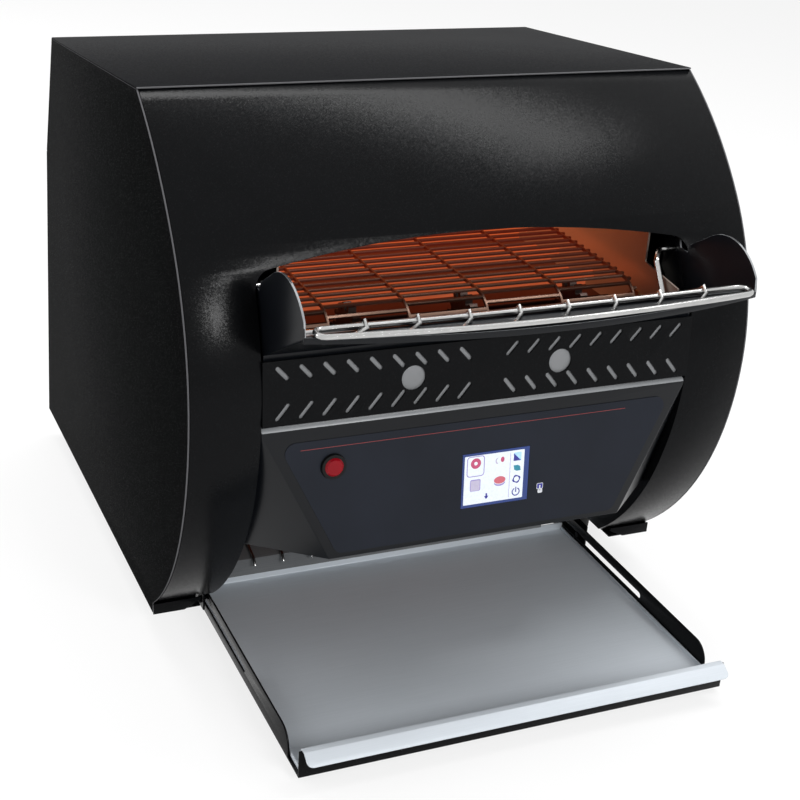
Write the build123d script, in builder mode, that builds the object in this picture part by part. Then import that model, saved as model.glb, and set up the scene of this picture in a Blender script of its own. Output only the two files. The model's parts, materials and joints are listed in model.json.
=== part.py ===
from build123d import *

import os
from math import asin, atan2, cos, degrees, hypot, pi, radians, sin, sqrt, tan

os.makedirs("parts", exist_ok=True)

# A countertop conveyor toaster. Millimetres, x to the right, y to the rear, z up from the counter.

# Sheet metal and fits
sheet = 1.5
thin_sheet = 1.0
seam = 0.3
running_fit = 0.05
slide_fit = 0.25

# Case
case_width = 448.0
case_height = 432.0
foot_height = 28.0
foot_radius = 11.0
foot_tip_radius = 9.0
foot_side_gap = 0.5
foot_front_y = -20.0
foot_back_y = 262.0

# Side profile of the case: a roof that falls to the rear, a back in two slopes, a front of three arcs.
# A drop is measured down from the roof's front edge.
roof_front_y = -56.5
roof_back_y = 224.0
roof_fall = 26.0
kink_y = 263.0
kink_drop = 133.5
back_y = 300.0
nose_y = -183.4
nose_drop = 198.1
toe_y = -87.9
middle_radius = 195.0
crown_start_drop = 78.3
shroud_rise = 9.0

# Mouth in the front shroud
mouth_half = 171.8
arch_spring_drop = 103.0
arch_crown_drop = 87.7
mouth_corner = 14.0
flare_top_drop = 282.0
flare_out = 3.5
jamb_depth = 22.0

# Base pan, open at the front for the toast tray
arm_gap = 10.7
base_front_y = -35.0
arm_lip_setback = 1.5
arm_cut_width = 13.0
arm_cut_height = 6.5
base_flange_height = 17.0

# Chamber walls and the conveyor between them
chamber_inset = 23.8
shaft_drop = 162.0
front_shaft_y = -137.0
rear_shaft_y = 130.0
shaft_radius = 6.0
bush_radius = 8.0
bush_flange_radius = 11.0
bush_length = 6.0
belt_radius = 24.0
belt_side_gap = 11.0
rod_radius = 1.1
rod_count = 65
link_width = 1.6
link_height = 2.4
link_pitch = 62.0
link_first = 22.0
sprocket_teeth = 14
sprocket_tip = 22.4
sprocket_root = 17.0
sprocket_width = 6.0
sprocket_pitch = 92.0

# Heaters and reflectors
tube_radius = 4.5
tube_drop = 82.0
tube_front_y = -60.0
tube_pitch = 80.0
strip_width = 32.0
strip_height = 4.0
strip_side_gap = 15.0
strip_front_y = -69.0
strip_pitch = 58.0
strip_pin_radius = 3.0
insulator_length = 12.0
insulator_side = 16.0
upper_reflector_drop = 64.0
upper_reflector_back_y = 170.0
upper_reflector_front_y = -100.0
upper_reflector_lip = 10.0
lower_reflector_below = 13.0
lower_reflector_reach = 98.0
lower_reflector_lip = 5.0

# Chute and rear deflector
chute_slope = 17.0
chute_bend_y = 85.0
chute_bend_radius = 150.0
chute_end_slope = 78.0
chute_rise = 100.0
chute_lip = 15.5
chute_wire_radius = 1.5
chute_wire_pitch = 25.0
chute_wire_count = 11
chute_wire_tip_y = -43.0
chute_wire_tip_z = 26.5
chute_wire_reach = 0.8
chute_wire_rise = 50.0
deflector_lap = 10.0
deflector_step = 6.0
deflector_knee_drop = 87.0
deflector_top_drop = 60.0
deflector_top_y = 196.0

# Outline of the chamber walls: crown, front edge, a tongue under the deck, and the heel above the housing
wall_crown_drop = 47.0
wall_crown_front_y = -105.0
wall_crown_back_y = 205.0
wall_back_y = 222.0
wall_back_drop = 92.0
wall_edge_y = -142.4
wall_edge_top_drop = 87.0
wall_edge_low_drop = 126.0
tongue_front_y = -190.0
tongue_drop = 131.0
tongue_back_y = -171.5
wall_heel_y = -168.0
wall_heel_drop = 170.0
wall_sill_drop = 205.0

# Loading deck and its wings
deck_chord_y = -253.4
deck_bow = 21.6
deck_drop = 111.2
deck_slope = 29.2
deck_rim = 4.5
deck_rim_width = 3.0
deck_tail = 14.0
wing_radius = 44.2
wing_top_y = -216.2
wing_top_drop = 83.6
wing_arc_front = 144.0
wing_arc_back = 54.0
wing_mouth_y = -167.0
wing_mouth_gap = 2.0
notch_back_y = -156.5
notch_slant = 2.0
wing_back_y = -135.0
wing_back_top_drop = 106.0
wing_notch_drop = 111.7
wing_back_height = 20.0

# Loading rack
rack_pivot_y = -150.0
rack_pivot_drop = 114.0
rack_pin_radius = 2.0
rack_rail_radius = 2.0
rack_wire_radius = 1.2
rack_side_gap = 8.0
rack_wire_pitch = 36.4
rack_wire_margin = 6.0
rack_wire_lean = 14.0
rack_hump_rise = 3.4
rack_hump_run = 4.0
rack_front_end_y = -260.5
rack_front_mid_y = -272.0
rack_back_end_y = -248.0
rack_back_mid_y = -251.0
rack_tail_gap = 3.0
rack_tail_y = -178.0
rack_tail_drop = 141.0
rack_arm_run = 12.0
rack_arm_rise = 4.0
rack_arm_out = 9.0
rack_arm_bend = 4.0
rack_pin_run = 8.0
rack_pin_inset = 0.2

# Burn guard under the deck
guard_top_y = -181.6
guard_drop = 158.2
guard_height = 47.6
guard_tilt = 4.1
guard_hole_radius = 9.3
guard_hole_x = 59.0
guard_hole_drop = 23.5
slot_width = 3.2
slot_pitch = 17.3
slot_first_x = 22.8
slot_margin = 8.0
upper_slot = (13.4, 47.7)
upper_slot_shift = (-4.0, -9.5)
lower_slot = (15.2, -50.5)
lower_slot_shift = (-4.4, -37.9)
guard_tab_depth = 12.0
liner_sheet = 0.8

# Control housing: a box whose lower front corners are cut off
panel_top_y = -183.2
panel_drop = 212.5
panel_height = 102.5
panel_foot_half = 120.7
panel_cut_depth = 47.8
panel_tilt = 5.2
ridge_height = 4.5
ridge_radius = 4.0
housing_depth = 100.0
overlay_top = 8.5
overlay_bottom = 98.5
overlay_margin = 7.8
overlay_corner = 8.0
overlay_sheet = 0.5
screen_x = 11.4
screen_drop = 56.5
screen_width = 55.5
screen_height = 43.25
glass_thickness = 1.8
module_depth = 8.0
module_border = 6.0
button_x = -118.5
button_drop = 29.3
button_radius = 7.0
button_travel = 3.0
button_proud = 1.5
button_heel = 1.0
button_chamfer = 1.4
bezel_radius = 9.7
bezel_rise = 2.5
bezel_taper = 12.0
bezel_floor = 2.0
barrel_radius = 8.5
barrel_depth = 20.0
board_x = 40.0
board_width = 130.0
board_height = 76.0
board_sheet = 1.6
board_standoff = 12.0
board_post_inset = 5.0
board_post_radius = 3.0

# Drive in the right-hand bay
chain_out = 12.0
chain_pitch = 7.5
chain_gap = 2.4
chain_plate = 0.8
chain_reach = 3.2
chain_roller = 2.2
drive_disc = 2.0
driven_teeth = 20
motor_teeth = 12
motor_y = 95.0
motor_z = 120.0
motor_shaft_radius = 4.0
motor_plate_out = 20.0
motor_plate = 2.0
motor_foot = 30.0
motor_margin = 6.0
motor_hole_gap = 2.0
gearbox_length = 22.0
gearbox_side = 58.0
gearbox_corner = 6.0
motor_radius = 26.0
motor_side_gap = 4.5

# Fan, vents, cable entry and terminals at the back
fan_size = 92.0
fan_depth = 25.0
fan_bore = 44.0
fan_rise = 78.0
fan_hub = 17.0
fan_blades = 7
fan_tip_gap = 1.5
fan_corner = 5.0
fan_spider = 2.5
fan_arm = 5.0
fan_arm_turns = (30, 150, 270)
fan_end_gap = 4.0
blade_inset = 1.5
blade_sheet = 1.6
blade_turn = 55.0
blade_root = 1.0
guard_wire = 2.0
guard_rings = (1.02, 0.68, 0.36)
guard_ring_sides = 24
vent_length = 46.0
vent_width = 4.0
vent_rows = 6
vent_pitch = 10.0
vent_x = 120.0
vent_drop = 68.0
gland_x = 150.0
gland_rise = 48.0
gland_radius = 8.0
gland_bore = 5.0
gland_flange = 11.0
gland_out = 4.0
gland_in = 10.0
terminal_length = 56.0
terminal_depth = 22.0
terminal_height = 24.0
terminal_gap = 21.5
terminal_y = 245.0
terminal_ways = 5
terminal_rib = 3.0
terminal_slot_depth = 8.0
screw_head_radius = 3.5
screw_head_height = 1.8
screw_inset = 9.0
screw_rise = 30.0
screw_drop = 23.0

# Toast tray: a black frame that slides on shoulder screws, and a steel insert that lies in it
tray_side_out = 2.5
tray_bottom_z = 4.6
bracket_top_z = 26.0
bracket_front_y = -264.5
bracket_back_y = 35.0
bracket_corner = 15.0
tray_front_y = -287.0
tray_front_z = 26.8
tray_back_y = -30.0
slot_z = 15.2
slot_front_y = -164.25
slot_back_y = 20.25
screw_radius = 2.5
screw_front_y = -58.0
screw_back_y = 20.0
hanger_gap = 1.3
hanger_drop = 6.0
hanger_flange = 8.0
hanger_margin = 10.0
tray_screw_head = 2.0
insert_gap = 0.8
insert_sheet = 1.2
insert_bend = 1.0
insert_back_y = -31.5
insert_back_rise = 7.6
insert_side_rise = 2.6
lip_back_y = -283.8
lip_top_z = 28.3
lip_crest_y = -289.9
lip_nose_y = -299.37
lip_nose_z = 21.2
lip_corner = 4.5

# Heights and places that follow from the sizes above
shroud_bottom = foot_height + shroud_rise
kink_z = case_height - kink_drop
nose_z = case_height - nose_drop
crown_start_z = case_height - crown_start_drop
arch_spring_z = case_height - arch_spring_drop
arch_crown_z = case_height - arch_crown_drop
flare_top_z = case_height - flare_top_drop
shaft_z = case_height - shaft_drop
tube_z = case_height - tube_drop
upper_reflector_z = case_height - upper_reflector_drop
lower_reflector_z = shaft_z - lower_reflector_below
deflector_knee_z = case_height - deflector_knee_drop
deflector_top_z = case_height - deflector_top_drop
deck_top_z = case_height - deck_drop
wing_top_z = case_height - wing_top_drop
wing_notch_z = case_height - wing_notch_drop
wing_back_top_z = case_height - wing_back_top_drop
rack_pivot_z = case_height - rack_pivot_drop
rack_tail_z = case_height - rack_tail_drop
guard_top_z = case_height - guard_drop
panel_top_z = case_height - panel_drop

flare_half = mouth_half + flare_out
arm_inner = flare_half + arm_gap
guard_half = mouth_half - seam
wing_half = guard_half - sheet
chamber_half = mouth_half - chamber_inset
belt_half = chamber_half - belt_side_gap
strip_half = chamber_half - strip_side_gap
rack_half = wing_half - rack_side_gap
rack_tail_half = chamber_half - rack_tail_gap
chain_x = chamber_half + chain_out
motor_plate_x = chamber_half + motor_plate_out
tray_half = mouth_half + tray_side_out
hanger_x = tray_half + hanger_gap
foot_x = arm_inner + foot_side_gap + foot_radius
terminal_x = -(chamber_half + sheet + terminal_gap + terminal_depth / 2)
side_inner = case_width / 2 - sheet
tub_half = side_inner - seam
base_top_z = foot_height + sheet
wall_outer = chamber_half + sheet
inner_half = chamber_half - seam
roof_back_z = case_height - roof_fall
lower_slope = (back_y - kink_y) / (kink_z - foot_height)
back_length = hypot(back_y - kink_y, kink_z - foot_height)
# The lower arc stands upright at the nose and comes down to the toe
lower_radius = ((toe_y - nose_y) ** 2 + (nose_z - shroud_bottom) ** 2) / (2 * (toe_y - nose_y))
lower_center = (nose_y + lower_radius, nose_z)
middle_center = (nose_y + middle_radius, nose_z)
crown_angle = asin((crown_start_z - nose_z) / middle_radius)
# The crown leaves the middle arc without a kink and ends under the roof's front edge
shroud_top = case_height - sheet - 2 * seam
crown_join = (middle_center[0] - middle_radius * cos(crown_angle), crown_start_z)
crown_run = (roof_front_y - crown_join[0], shroud_top - crown_join[1])
crown_radius = (crown_run[0] ** 2 + crown_run[1] ** 2) / (
    2 * (crown_run[0] * cos(crown_angle) - crown_run[1] * sin(crown_angle))
)
crown_center = (
    middle_center[0] - (middle_radius - crown_radius) * cos(crown_angle),
    middle_center[1] + (middle_radius - crown_radius) * sin(crown_angle),
)


def across(x, y=0.0, z=0.0):
    # A plane that faces along x, with its own x to the rear and its own y up
    return Plane(origin=(x, y, z), x_dir=(0, 1, 0), z_dir=(1, 0, 0))


def shifted(points, distance):
    # The same polyline moved to its left, with mitred corners
    normals = []
    for a, b in zip(points, points[1:]):
        run = hypot(b[0] - a[0], b[1] - a[1])
        normals.append(((a[1] - b[1]) / run, (b[0] - a[0]) / run))
    normals = [normals[0]] + normals + [normals[-1]]
    moved = []
    for point, n, m in zip(points, normals, normals[1:]):
        share = distance / (1 + n[0] * m[0] + n[1] * m[1])
        moved.append((point[0] + share * (n[0] + m[0]), point[1] + share * (n[1] + m[1])))
    return moved


def sheet_face(points, thickness):
    # Section of a bent sheet with the points along one face and the metal to their left
    with BuildLine() as outline:
        Polyline(*points, *reversed(shifted(points, thickness)), close=True)
    make_face(outline.edges())


def front_point(z, inset=0.0):
    # Point of the front curve at a height, moved in from the outer face
    center, radius = lower_center, lower_radius
    if z > nose_z:
        center, radius = middle_center, middle_radius
    if z > crown_start_z - inset * sin(crown_angle):
        center, radius = crown_center, crown_radius
    return (center[0] - sqrt((radius - inset) ** 2 - (z - center[1]) ** 2), z)


def front_curve(bottom, top, inset=0.0):
    # The three arcs of the front, from the bottom up
    nose = (nose_y + inset, nose_z)
    reach = middle_radius - inset
    join = (middle_center[0] - reach * cos(crown_angle), nose_z + reach * sin(crown_angle))
    ThreePointArc(front_point(bottom, inset), front_point((bottom + nose_z) / 2, inset), nose)
    ThreePointArc(nose, front_point((nose_z + join[1]) / 2, inset), join)
    ThreePointArc(join, front_point((join[1] + top) / 2, inset), front_point(top, inset))


def front_band(bottom, top, depth):
    # Section of a wall that lies behind the front curve
    with BuildLine() as outline:
        front_curve(bottom, top)
        front_curve(bottom, top, depth)
        Line(front_point(bottom), front_point(bottom, depth))
        Line(front_point(top), front_point(top, depth))
    make_face(outline.edges())


def back_at(z, inset=0.0):
    # The lower back's place at a height, moved in from its outer face
    return kink_y + (kink_z - z) * lower_slope - inset * sqrt(1 + lower_slope**2)


def toothed_face(teeth, tip, root):
    # Outline of a sprocket
    step = 2 * pi / teeth
    points = []
    for tooth in range(teeth):
        for share, reach in ((-0.32, root), (-0.12, tip), (0.12, tip), (0.32, root)):
            angle = (tooth + share) * step
            points.append((reach * cos(angle), reach * sin(angle)))
    with BuildLine() as outline:
        Polyline(*points, close=True)
    make_face(outline.edges())


def slot_points(length, width):
    # Outline of a slot with cut-off ends, about its own middle
    x, y, cut = length / 2, width / 2, width * 0.3
    right = [(x - cut, -y), (x, cut - y), (x, y - cut), (x - cut, y)]
    return right + [(-a, -b) for a, b in right]


# ---- Case ----

shell = [(roof_front_y, case_height), (roof_back_y, roof_back_z), (kink_y, kink_z), (back_y, foot_height)]
shell_inner = shifted(shell, -sheet)


def side_face():
    top = case_height - sheet - seam
    with BuildLine() as outline:
        front_curve(shroud_bottom, top)
        Polyline(front_point(top), shell_inner[1], shell_inner[2], (back_at(foot_height, sheet), foot_height))
        Polyline(
            (back_at(foot_height, sheet), foot_height),
            (front_point(shroud_bottom)[0], foot_height),
            front_point(shroud_bottom),
        )
    make_face(outline.edges())


with BuildPart() as left_side_panel:
    with BuildSketch(across(-case_width / 2)):
        side_face()
    extrude(amount=sheet)
left_side_panel.part.label = "left_side_panel"
export_step(left_side_panel.part, "parts/left_side_panel.step")

with BuildPart() as right_side_panel:
    with BuildSketch(across(side_inner)):
        side_face()
    extrude(amount=sheet)
right_side_panel.part.label = "right_side_panel"
export_step(right_side_panel.part, "parts/right_side_panel.step")

with BuildPart() as top_panel:
    with BuildSketch(across(0)):
        sheet_face(shell[:3], -sheet)
    extrude(amount=case_width / 2, both=True)
top_panel.part.label = "top_panel"
export_step(top_panel.part, "parts/top_panel.step")

# Jamb: the return flange along one side of the mouth
with BuildPart() as jamb:
    with BuildSketch(across(mouth_half - sheet)):
        front_band(shroud_bottom, shroud_top, jamb_depth)
    extrude(amount=flare_half - mouth_half + 3 * sheet)
    with BuildSketch(Plane.XZ.offset(-lower_center[0])):
        sheet_face(
            [(mouth_half, arch_spring_z - mouth_corner), (mouth_half, flare_top_z), (flare_half, shroud_bottom)],
            sheet,
        )
    extrude(amount=lower_radius + sheet, mode=Mode.INTERSECT)

with BuildPart() as front_shroud:
    with BuildSketch(across(0)):
        front_band(shroud_bottom, shroud_top, sheet)
    extrude(amount=tub_half, both=True)
    with BuildSketch(Plane.XZ.offset(-lower_center[0])) as mouth:
        with BuildLine():
            ThreePointArc((-mouth_half, arch_spring_z), (0, arch_crown_z), (mouth_half, arch_spring_z))
            Polyline(
                (mouth_half, arch_spring_z),
                (mouth_half, flare_top_z),
                (flare_half, shroud_bottom),
                (flare_half, foot_height),
                (-flare_half, foot_height),
                (-flare_half, shroud_bottom),
                (-mouth_half, flare_top_z),
                (-mouth_half, arch_spring_z),
            )
        make_face()
        fillet(mouth.vertices().group_by(Axis.Y)[-1], radius=mouth_corner)
    extrude(amount=lower_radius + sheet, mode=Mode.SUBTRACT)
    add(jamb.part)
    add(mirror(jamb.part, about=Plane.YZ, mode=Mode.PRIVATE))
front_shroud.part.label = "front_shroud"
export_step(front_shroud.part, "parts/front_shroud.step")

# Base pan: a floor cut back at the front between two arms, each closed by a small lip
arm_front_y = front_point(shroud_bottom)[0] - arm_lip_setback
base_back_y = back_at(base_top_z, sheet) - seam
with BuildPart() as base_pan:
    with BuildSketch(Plane.XY.offset(foot_height)):
        with BuildLine():
            Polyline(
                (0, base_front_y),
                (arm_inner, base_front_y),
                (arm_inner, arm_front_y),
                (tub_half, arm_front_y),
                (tub_half, base_back_y),
                (0, base_back_y),
                close=True,
            )
        make_face()
    extrude(amount=sheet)
    with BuildSketch(across(tub_half - sheet)):
        with BuildLine():
            Polyline(
                (front_point(shroud_bottom, sheet + seam)[0], shroud_bottom),
                (front_point(shroud_bottom, sheet + seam)[0], foot_height),
                (base_back_y, foot_height),
                (back_at(base_top_z + base_flange_height, sheet) - seam, base_top_z + base_flange_height),
                (front_point(base_top_z + base_flange_height, sheet + seam)[0], base_top_z + base_flange_height),
                close=True,
            )
        make_face()
    extrude(amount=sheet)
    with BuildSketch(Plane.XZ.offset(-arm_front_y)):
        with BuildLine():
            Polyline(
                (arm_inner + arm_cut_width, foot_height),
                (case_width / 2, foot_height),
                (case_width / 2, shroud_bottom),
                (arm_inner, shroud_bottom),
                (arm_inner, foot_height + arm_cut_height),
                close=True,
            )
        make_face()
    extrude(amount=sheet)
    mirror(about=Plane.YZ)
base_pan.part.label = "base_pan"
export_step(base_pan.part, "parts/base_pan.step")

with BuildPart() as feet:
    with Locations(*[(x, y, 0) for x in (-foot_x, foot_x) for y in (foot_front_y, foot_back_y)]):
        Cone(foot_tip_radius, foot_radius, foot_height, align=(Align.CENTER, Align.CENTER, Align.MIN))
feet.part.label = "feet"
export_step(feet.part, "parts/feet.step")

# Lower back: vents, fan hole and cable entry, on a plane whose own x runs to the left and own y up the slope
lean = atan2(back_y - kink_y, kink_z - foot_height)
back_plane = Plane(origin=(0, back_y, foot_height), x_dir=(-1, 0, 0), z_dir=(0, cos(lean), sin(lean)))
with BuildPart() as rear_panel:
    with BuildSketch(across(0)):
        sheet_face([(back_at(kink_z - 2 * seam), kink_z - 2 * seam), (back_y, foot_height)], -sheet)
    extrude(amount=case_width / 2, both=True)
    with BuildSketch(back_plane):
        with Locations((0, fan_rise)):
            Circle(fan_bore)
        with Locations((-gland_x, gland_rise)):
            Circle(gland_radius)
        with Locations((0, back_length - vent_drop)):
            with GridLocations(2 * vent_x, vent_pitch, 2, vent_rows):
                Polygon(*slot_points(vent_length, vent_width))
    extrude(amount=-2 * sheet, mode=Mode.SUBTRACT)
rear_panel.part.label = "rear_panel"
export_step(rear_panel.part, "parts/rear_panel.step")

back_screw_x = case_width / 2 - screw_inset
back_screw_rises = (screw_rise, back_length / 2, back_length - screw_drop)
with BuildPart() as cover_screws:
    with BuildSketch(back_plane):
        with Locations(*[(x, y) for x in (-back_screw_x, back_screw_x) for y in back_screw_rises]):
            Circle(screw_head_radius)
    extrude(amount=screw_head_height)
cover_screws.part.label = "cover_screws"
export_step(cover_screws.part, "parts/cover_screws.step")

# ---- Toasting chamber ----

wall_foot_y = base_front_y + 2 * sheet
deck_fall = tan(radians(deck_slope))


def deck_z(y):
    # Height of the deck's upper face
    return deck_top_z - (y - deck_chord_y) * deck_fall


def wall_face():
    # Side wall between the crown over the upper heaters, the tongue on the deck and the foot on the base
    with BuildLine() as outline:
        Polyline(
            (wall_edge_y, case_height - wall_edge_top_drop),
            (wall_edge_y, case_height - wall_edge_low_drop),
            (tongue_front_y, case_height - tongue_drop),
            (tongue_front_y, deck_z(tongue_front_y) + 2 * sheet),
            (tongue_back_y, deck_z(tongue_back_y) + 2 * sheet),
            (wall_heel_y, case_height - wall_heel_drop),
            (wall_heel_y, case_height - wall_sill_drop),
            (wall_foot_y, case_height - wall_sill_drop),
            (wall_foot_y, base_top_z),
            (wall_back_y, base_top_z),
            (wall_back_y, case_height - wall_back_drop),
            (wall_crown_back_y, case_height - wall_crown_drop),
            (wall_crown_front_y, case_height - wall_crown_drop),
            close=True,
        )
    make_face(outline.edges())
    with Locations((front_shaft_y, shaft_z), (rear_shaft_y, shaft_z)):
        Circle(bush_radius, mode=Mode.SUBTRACT)
    with Locations(*[(tube_front_y + n * tube_pitch, tube_z) for n in range(3)]):
        Circle(tube_radius + seam, mode=Mode.SUBTRACT)
    with Locations(*[(strip_front_y + n * strip_pitch, shaft_z) for n in range(3)]):
        Circle(strip_pin_radius + seam, mode=Mode.SUBTRACT)


with BuildPart() as left_chamber_wall:
    with BuildSketch(across(-wall_outer)):
        wall_face()
    extrude(amount=sheet)
left_chamber_wall.part.label = "left_chamber_wall"
export_step(left_chamber_wall.part, "parts/left_chamber_wall.step")

with BuildPart() as right_chamber_wall:
    with BuildSketch(across(chamber_half)):
        wall_face()
    extrude(amount=sheet)
right_chamber_wall.part.label = "right_chamber_wall"
export_step(right_chamber_wall.part, "parts/right_chamber_wall.step")

with BuildPart() as upper_reflector:
    with BuildSketch(across(0)):
        sheet_face(
            [
                (upper_reflector_front_y, upper_reflector_z - upper_reflector_lip),
                (upper_reflector_front_y, upper_reflector_z),
                (upper_reflector_back_y, upper_reflector_z),
            ],
            thin_sheet,
        )
    extrude(amount=inner_half, both=True)
upper_reflector.part.label = "upper_reflector"
export_step(upper_reflector.part, "parts/upper_reflector.step")

with BuildPart() as lower_reflector:
    with BuildSketch(across(0)):
        sheet_face(
            [
                (-lower_reflector_reach, lower_reflector_z + lower_reflector_lip),
                (-lower_reflector_reach + lower_reflector_lip, lower_reflector_z),
                (lower_reflector_reach - lower_reflector_lip, lower_reflector_z),
                (lower_reflector_reach, lower_reflector_z + lower_reflector_lip),
            ],
            thin_sheet,
        )
    extrude(amount=inner_half, both=True)
lower_reflector.part.label = "lower_reflector"
export_step(lower_reflector.part, "parts/lower_reflector.step")

tube_half = wall_outer + insulator_length / 2
with BuildPart() as upper_heaters:
    with BuildSketch(across(0)):
        with Locations(*[(tube_front_y + n * tube_pitch, tube_z) for n in range(3)]):
            Circle(tube_radius)
    extrude(amount=tube_half, both=True)
upper_heaters.part.label = "upper_heaters"
export_step(upper_heaters.part, "parts/upper_heaters.step")

with BuildPart() as lower_heaters:
    with Locations(*[(0, strip_front_y + n * strip_pitch, shaft_z) for n in range(3)]):
        Box(2 * strip_half, strip_width, strip_height)
    with BuildSketch(across(0)):
        with Locations(*[(strip_front_y + n * strip_pitch, shaft_z) for n in range(3)]):
            Circle(strip_pin_radius)
    extrude(amount=tube_half, both=True)
lower_heaters.part.label = "lower_heaters"
export_step(lower_heaters.part, "parts/lower_heaters.step")

with BuildPart() as heater_insulators:
    with BuildSketch(across(wall_outer)):
        with Locations(*[(tube_front_y + n * tube_pitch, tube_z) for n in range(3)]):
            Rectangle(insulator_side, insulator_side)
        with Locations(*[(strip_front_y + n * strip_pitch, shaft_z) for n in range(3)]):
            Rectangle(insulator_side, insulator_side)
    extrude(amount=insulator_length)
    with BuildSketch(across(wall_outer)):
        with Locations(*[(tube_front_y + n * tube_pitch, tube_z) for n in range(3)]):
            Circle(tube_radius + seam)
        with Locations(*[(strip_front_y + n * strip_pitch, shaft_z) for n in range(3)]):
            Circle(strip_pin_radius + seam)
    extrude(amount=insulator_length / 2 + seam, mode=Mode.SUBTRACT)
    mirror(about=Plane.YZ)
heater_insulators.part.label = "heater_insulators"
export_step(heater_insulators.part, "parts/heater_insulators.step")

# ---- Conveyor ----

belt_run = rear_shaft_y - front_shaft_y
belt_length = 2 * belt_run + 2 * pi * belt_radius


def belt_point(distance):
    # Point and direction on the belt's pitch line, measured from the front end of the upper run
    distance %= belt_length
    if distance < belt_run:
        return front_shaft_y + distance, shaft_z + belt_radius, 0.0
    distance -= belt_run
    if distance < pi * belt_radius:
        turn = distance / belt_radius
        return rear_shaft_y + belt_radius * sin(turn), shaft_z + belt_radius * cos(turn), -turn
    distance -= pi * belt_radius
    if distance < belt_run:
        return rear_shaft_y - distance, shaft_z - belt_radius, pi
    turn = (distance - belt_run) / belt_radius
    return front_shaft_y - belt_radius * sin(turn), shaft_z - belt_radius * cos(turn), pi - turn


# Rods run from one row of links to the next, and each bay's rods stand half a pitch off its neighbours'
rod_pitch = belt_length / rod_count
link_rows = int((2 * belt_half - link_first) / link_pitch) + 1
row_places = [link_first - belt_half + n * link_pitch for n in range(link_rows)]
bay_ends = [-belt_half] + row_places + [belt_half]
belt_middle = ((front_shaft_y + rear_shaft_y) / 2, shaft_z)
with BuildPart() as conveyor_belt:
    for bay, (start, end) in enumerate(zip(bay_ends, bay_ends[1:])):
        with BuildSketch(across(start)):
            for n in range(rod_count):
                y, z, turn = belt_point((n + bay % 2 / 2) * rod_pitch)
                with Locations((y, z)):
                    Rectangle(2 * rod_radius, 2 * rod_radius, rotation=degrees(turn))
        extrude(amount=end - start)
    for x in row_places:
        with BuildSketch(across(x - link_width / 2)):
            with Locations(belt_middle):
                SlotCenterToCenter(belt_run, 2 * belt_radius + link_height)
                SlotCenterToCenter(belt_run, 2 * belt_radius - link_height, mode=Mode.SUBTRACT)
        extrude(amount=link_width)
conveyor_belt.part.label = "conveyor_belt"
export_step(conveyor_belt.part, "parts/conveyor_belt.step")

with BuildPart() as shaft_bushings:
    with BuildSketch(across(chamber_half)):
        with Locations((front_shaft_y, shaft_z), (rear_shaft_y, shaft_z)):
            Circle(bush_radius)
    extrude(amount=bush_length)
    with BuildSketch(across(chamber_half)):
        with Locations((front_shaft_y, shaft_z), (rear_shaft_y, shaft_z)):
            Circle(bush_flange_radius)
    extrude(amount=-sheet)
    with BuildSketch(across(chamber_half - sheet)):
        with Locations((front_shaft_y, shaft_z), (rear_shaft_y, shaft_z)):
            Circle(shaft_radius + running_fit)
    extrude(amount=bush_length + sheet, mode=Mode.SUBTRACT)
    mirror(about=Plane.YZ)
shaft_bushings.part.label = "shaft_bushings"
export_step(shaft_bushings.part, "parts/shaft_bushings.step")

shaft_half = wall_outer + bush_length
with BuildPart() as front_shaft:
    with BuildSketch(across(0, front_shaft_y, shaft_z)):
        Circle(shaft_radius)
    extrude(amount=shaft_half, both=True)
front_shaft.part.label = "front_shaft"
export_step(front_shaft.part, "parts/front_shaft.step")

with BuildPart() as rear_shaft:
    with BuildSketch(across(-shaft_half, rear_shaft_y, shaft_z)):
        Circle(shaft_radius)
    extrude(amount=shaft_half + chain_x + chain_gap)
rear_shaft.part.label = "rear_shaft"
export_step(rear_shaft.part, "parts/rear_shaft.step")

with BuildPart() as front_sprockets:
    for place in (-sprocket_pitch, 0, sprocket_pitch):
        with BuildSketch(across(place - sprocket_width / 2, front_shaft_y, shaft_z)):
            toothed_face(sprocket_teeth, sprocket_tip, sprocket_root)
            Circle(shaft_radius, mode=Mode.SUBTRACT)
        extrude(amount=sprocket_width)
front_sprockets.part.label = "front_sprockets"
export_step(front_sprockets.part, "parts/front_sprockets.step")

with BuildPart() as rear_sprockets:
    for place in (-sprocket_pitch, 0, sprocket_pitch):
        with BuildSketch(across(place - sprocket_width / 2, rear_shaft_y, shaft_z)):
            toothed_face(sprocket_teeth, sprocket_tip, sprocket_root)
            Circle(shaft_radius, mode=Mode.SUBTRACT)
        extrude(amount=sprocket_width)
rear_sprockets.part.label = "rear_sprockets"
export_step(rear_sprockets.part, "parts/rear_sprockets.step")

# ---- Chain drive ----

driven_radius = chain_pitch / (2 * sin(pi / driven_teeth))
motor_pitch_radius = chain_pitch / (2 * sin(pi / motor_teeth))
tooth_clear = chain_roller + seam
with BuildPart() as driven_sprocket:
    with BuildSketch(across(chain_x - drive_disc / 2, rear_shaft_y, shaft_z)):
        toothed_face(driven_teeth, driven_radius - tooth_clear, driven_radius - 2 * tooth_clear)
        Circle(shaft_radius, mode=Mode.SUBTRACT)
    extrude(amount=drive_disc)
driven_sprocket.part.label = "driven_sprocket"
export_step(driven_sprocket.part, "parts/driven_sprocket.step")

with BuildPart() as motor_sprocket:
    with BuildSketch(across(chain_x - drive_disc / 2, motor_y, motor_z)):
        toothed_face(motor_teeth, motor_pitch_radius - tooth_clear, motor_pitch_radius - 2 * tooth_clear)
    extrude(amount=drive_disc)
    with BuildSketch(across(chain_x - drive_disc, motor_y, motor_z)):
        Circle(motor_shaft_radius)
    extrude(amount=motor_plate_x + motor_plate + gearbox_length / 2 - chain_x + drive_disc)
motor_sprocket.part.label = "motor_sprocket"
export_step(motor_sprocket.part, "parts/motor_sprocket.step")


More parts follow.
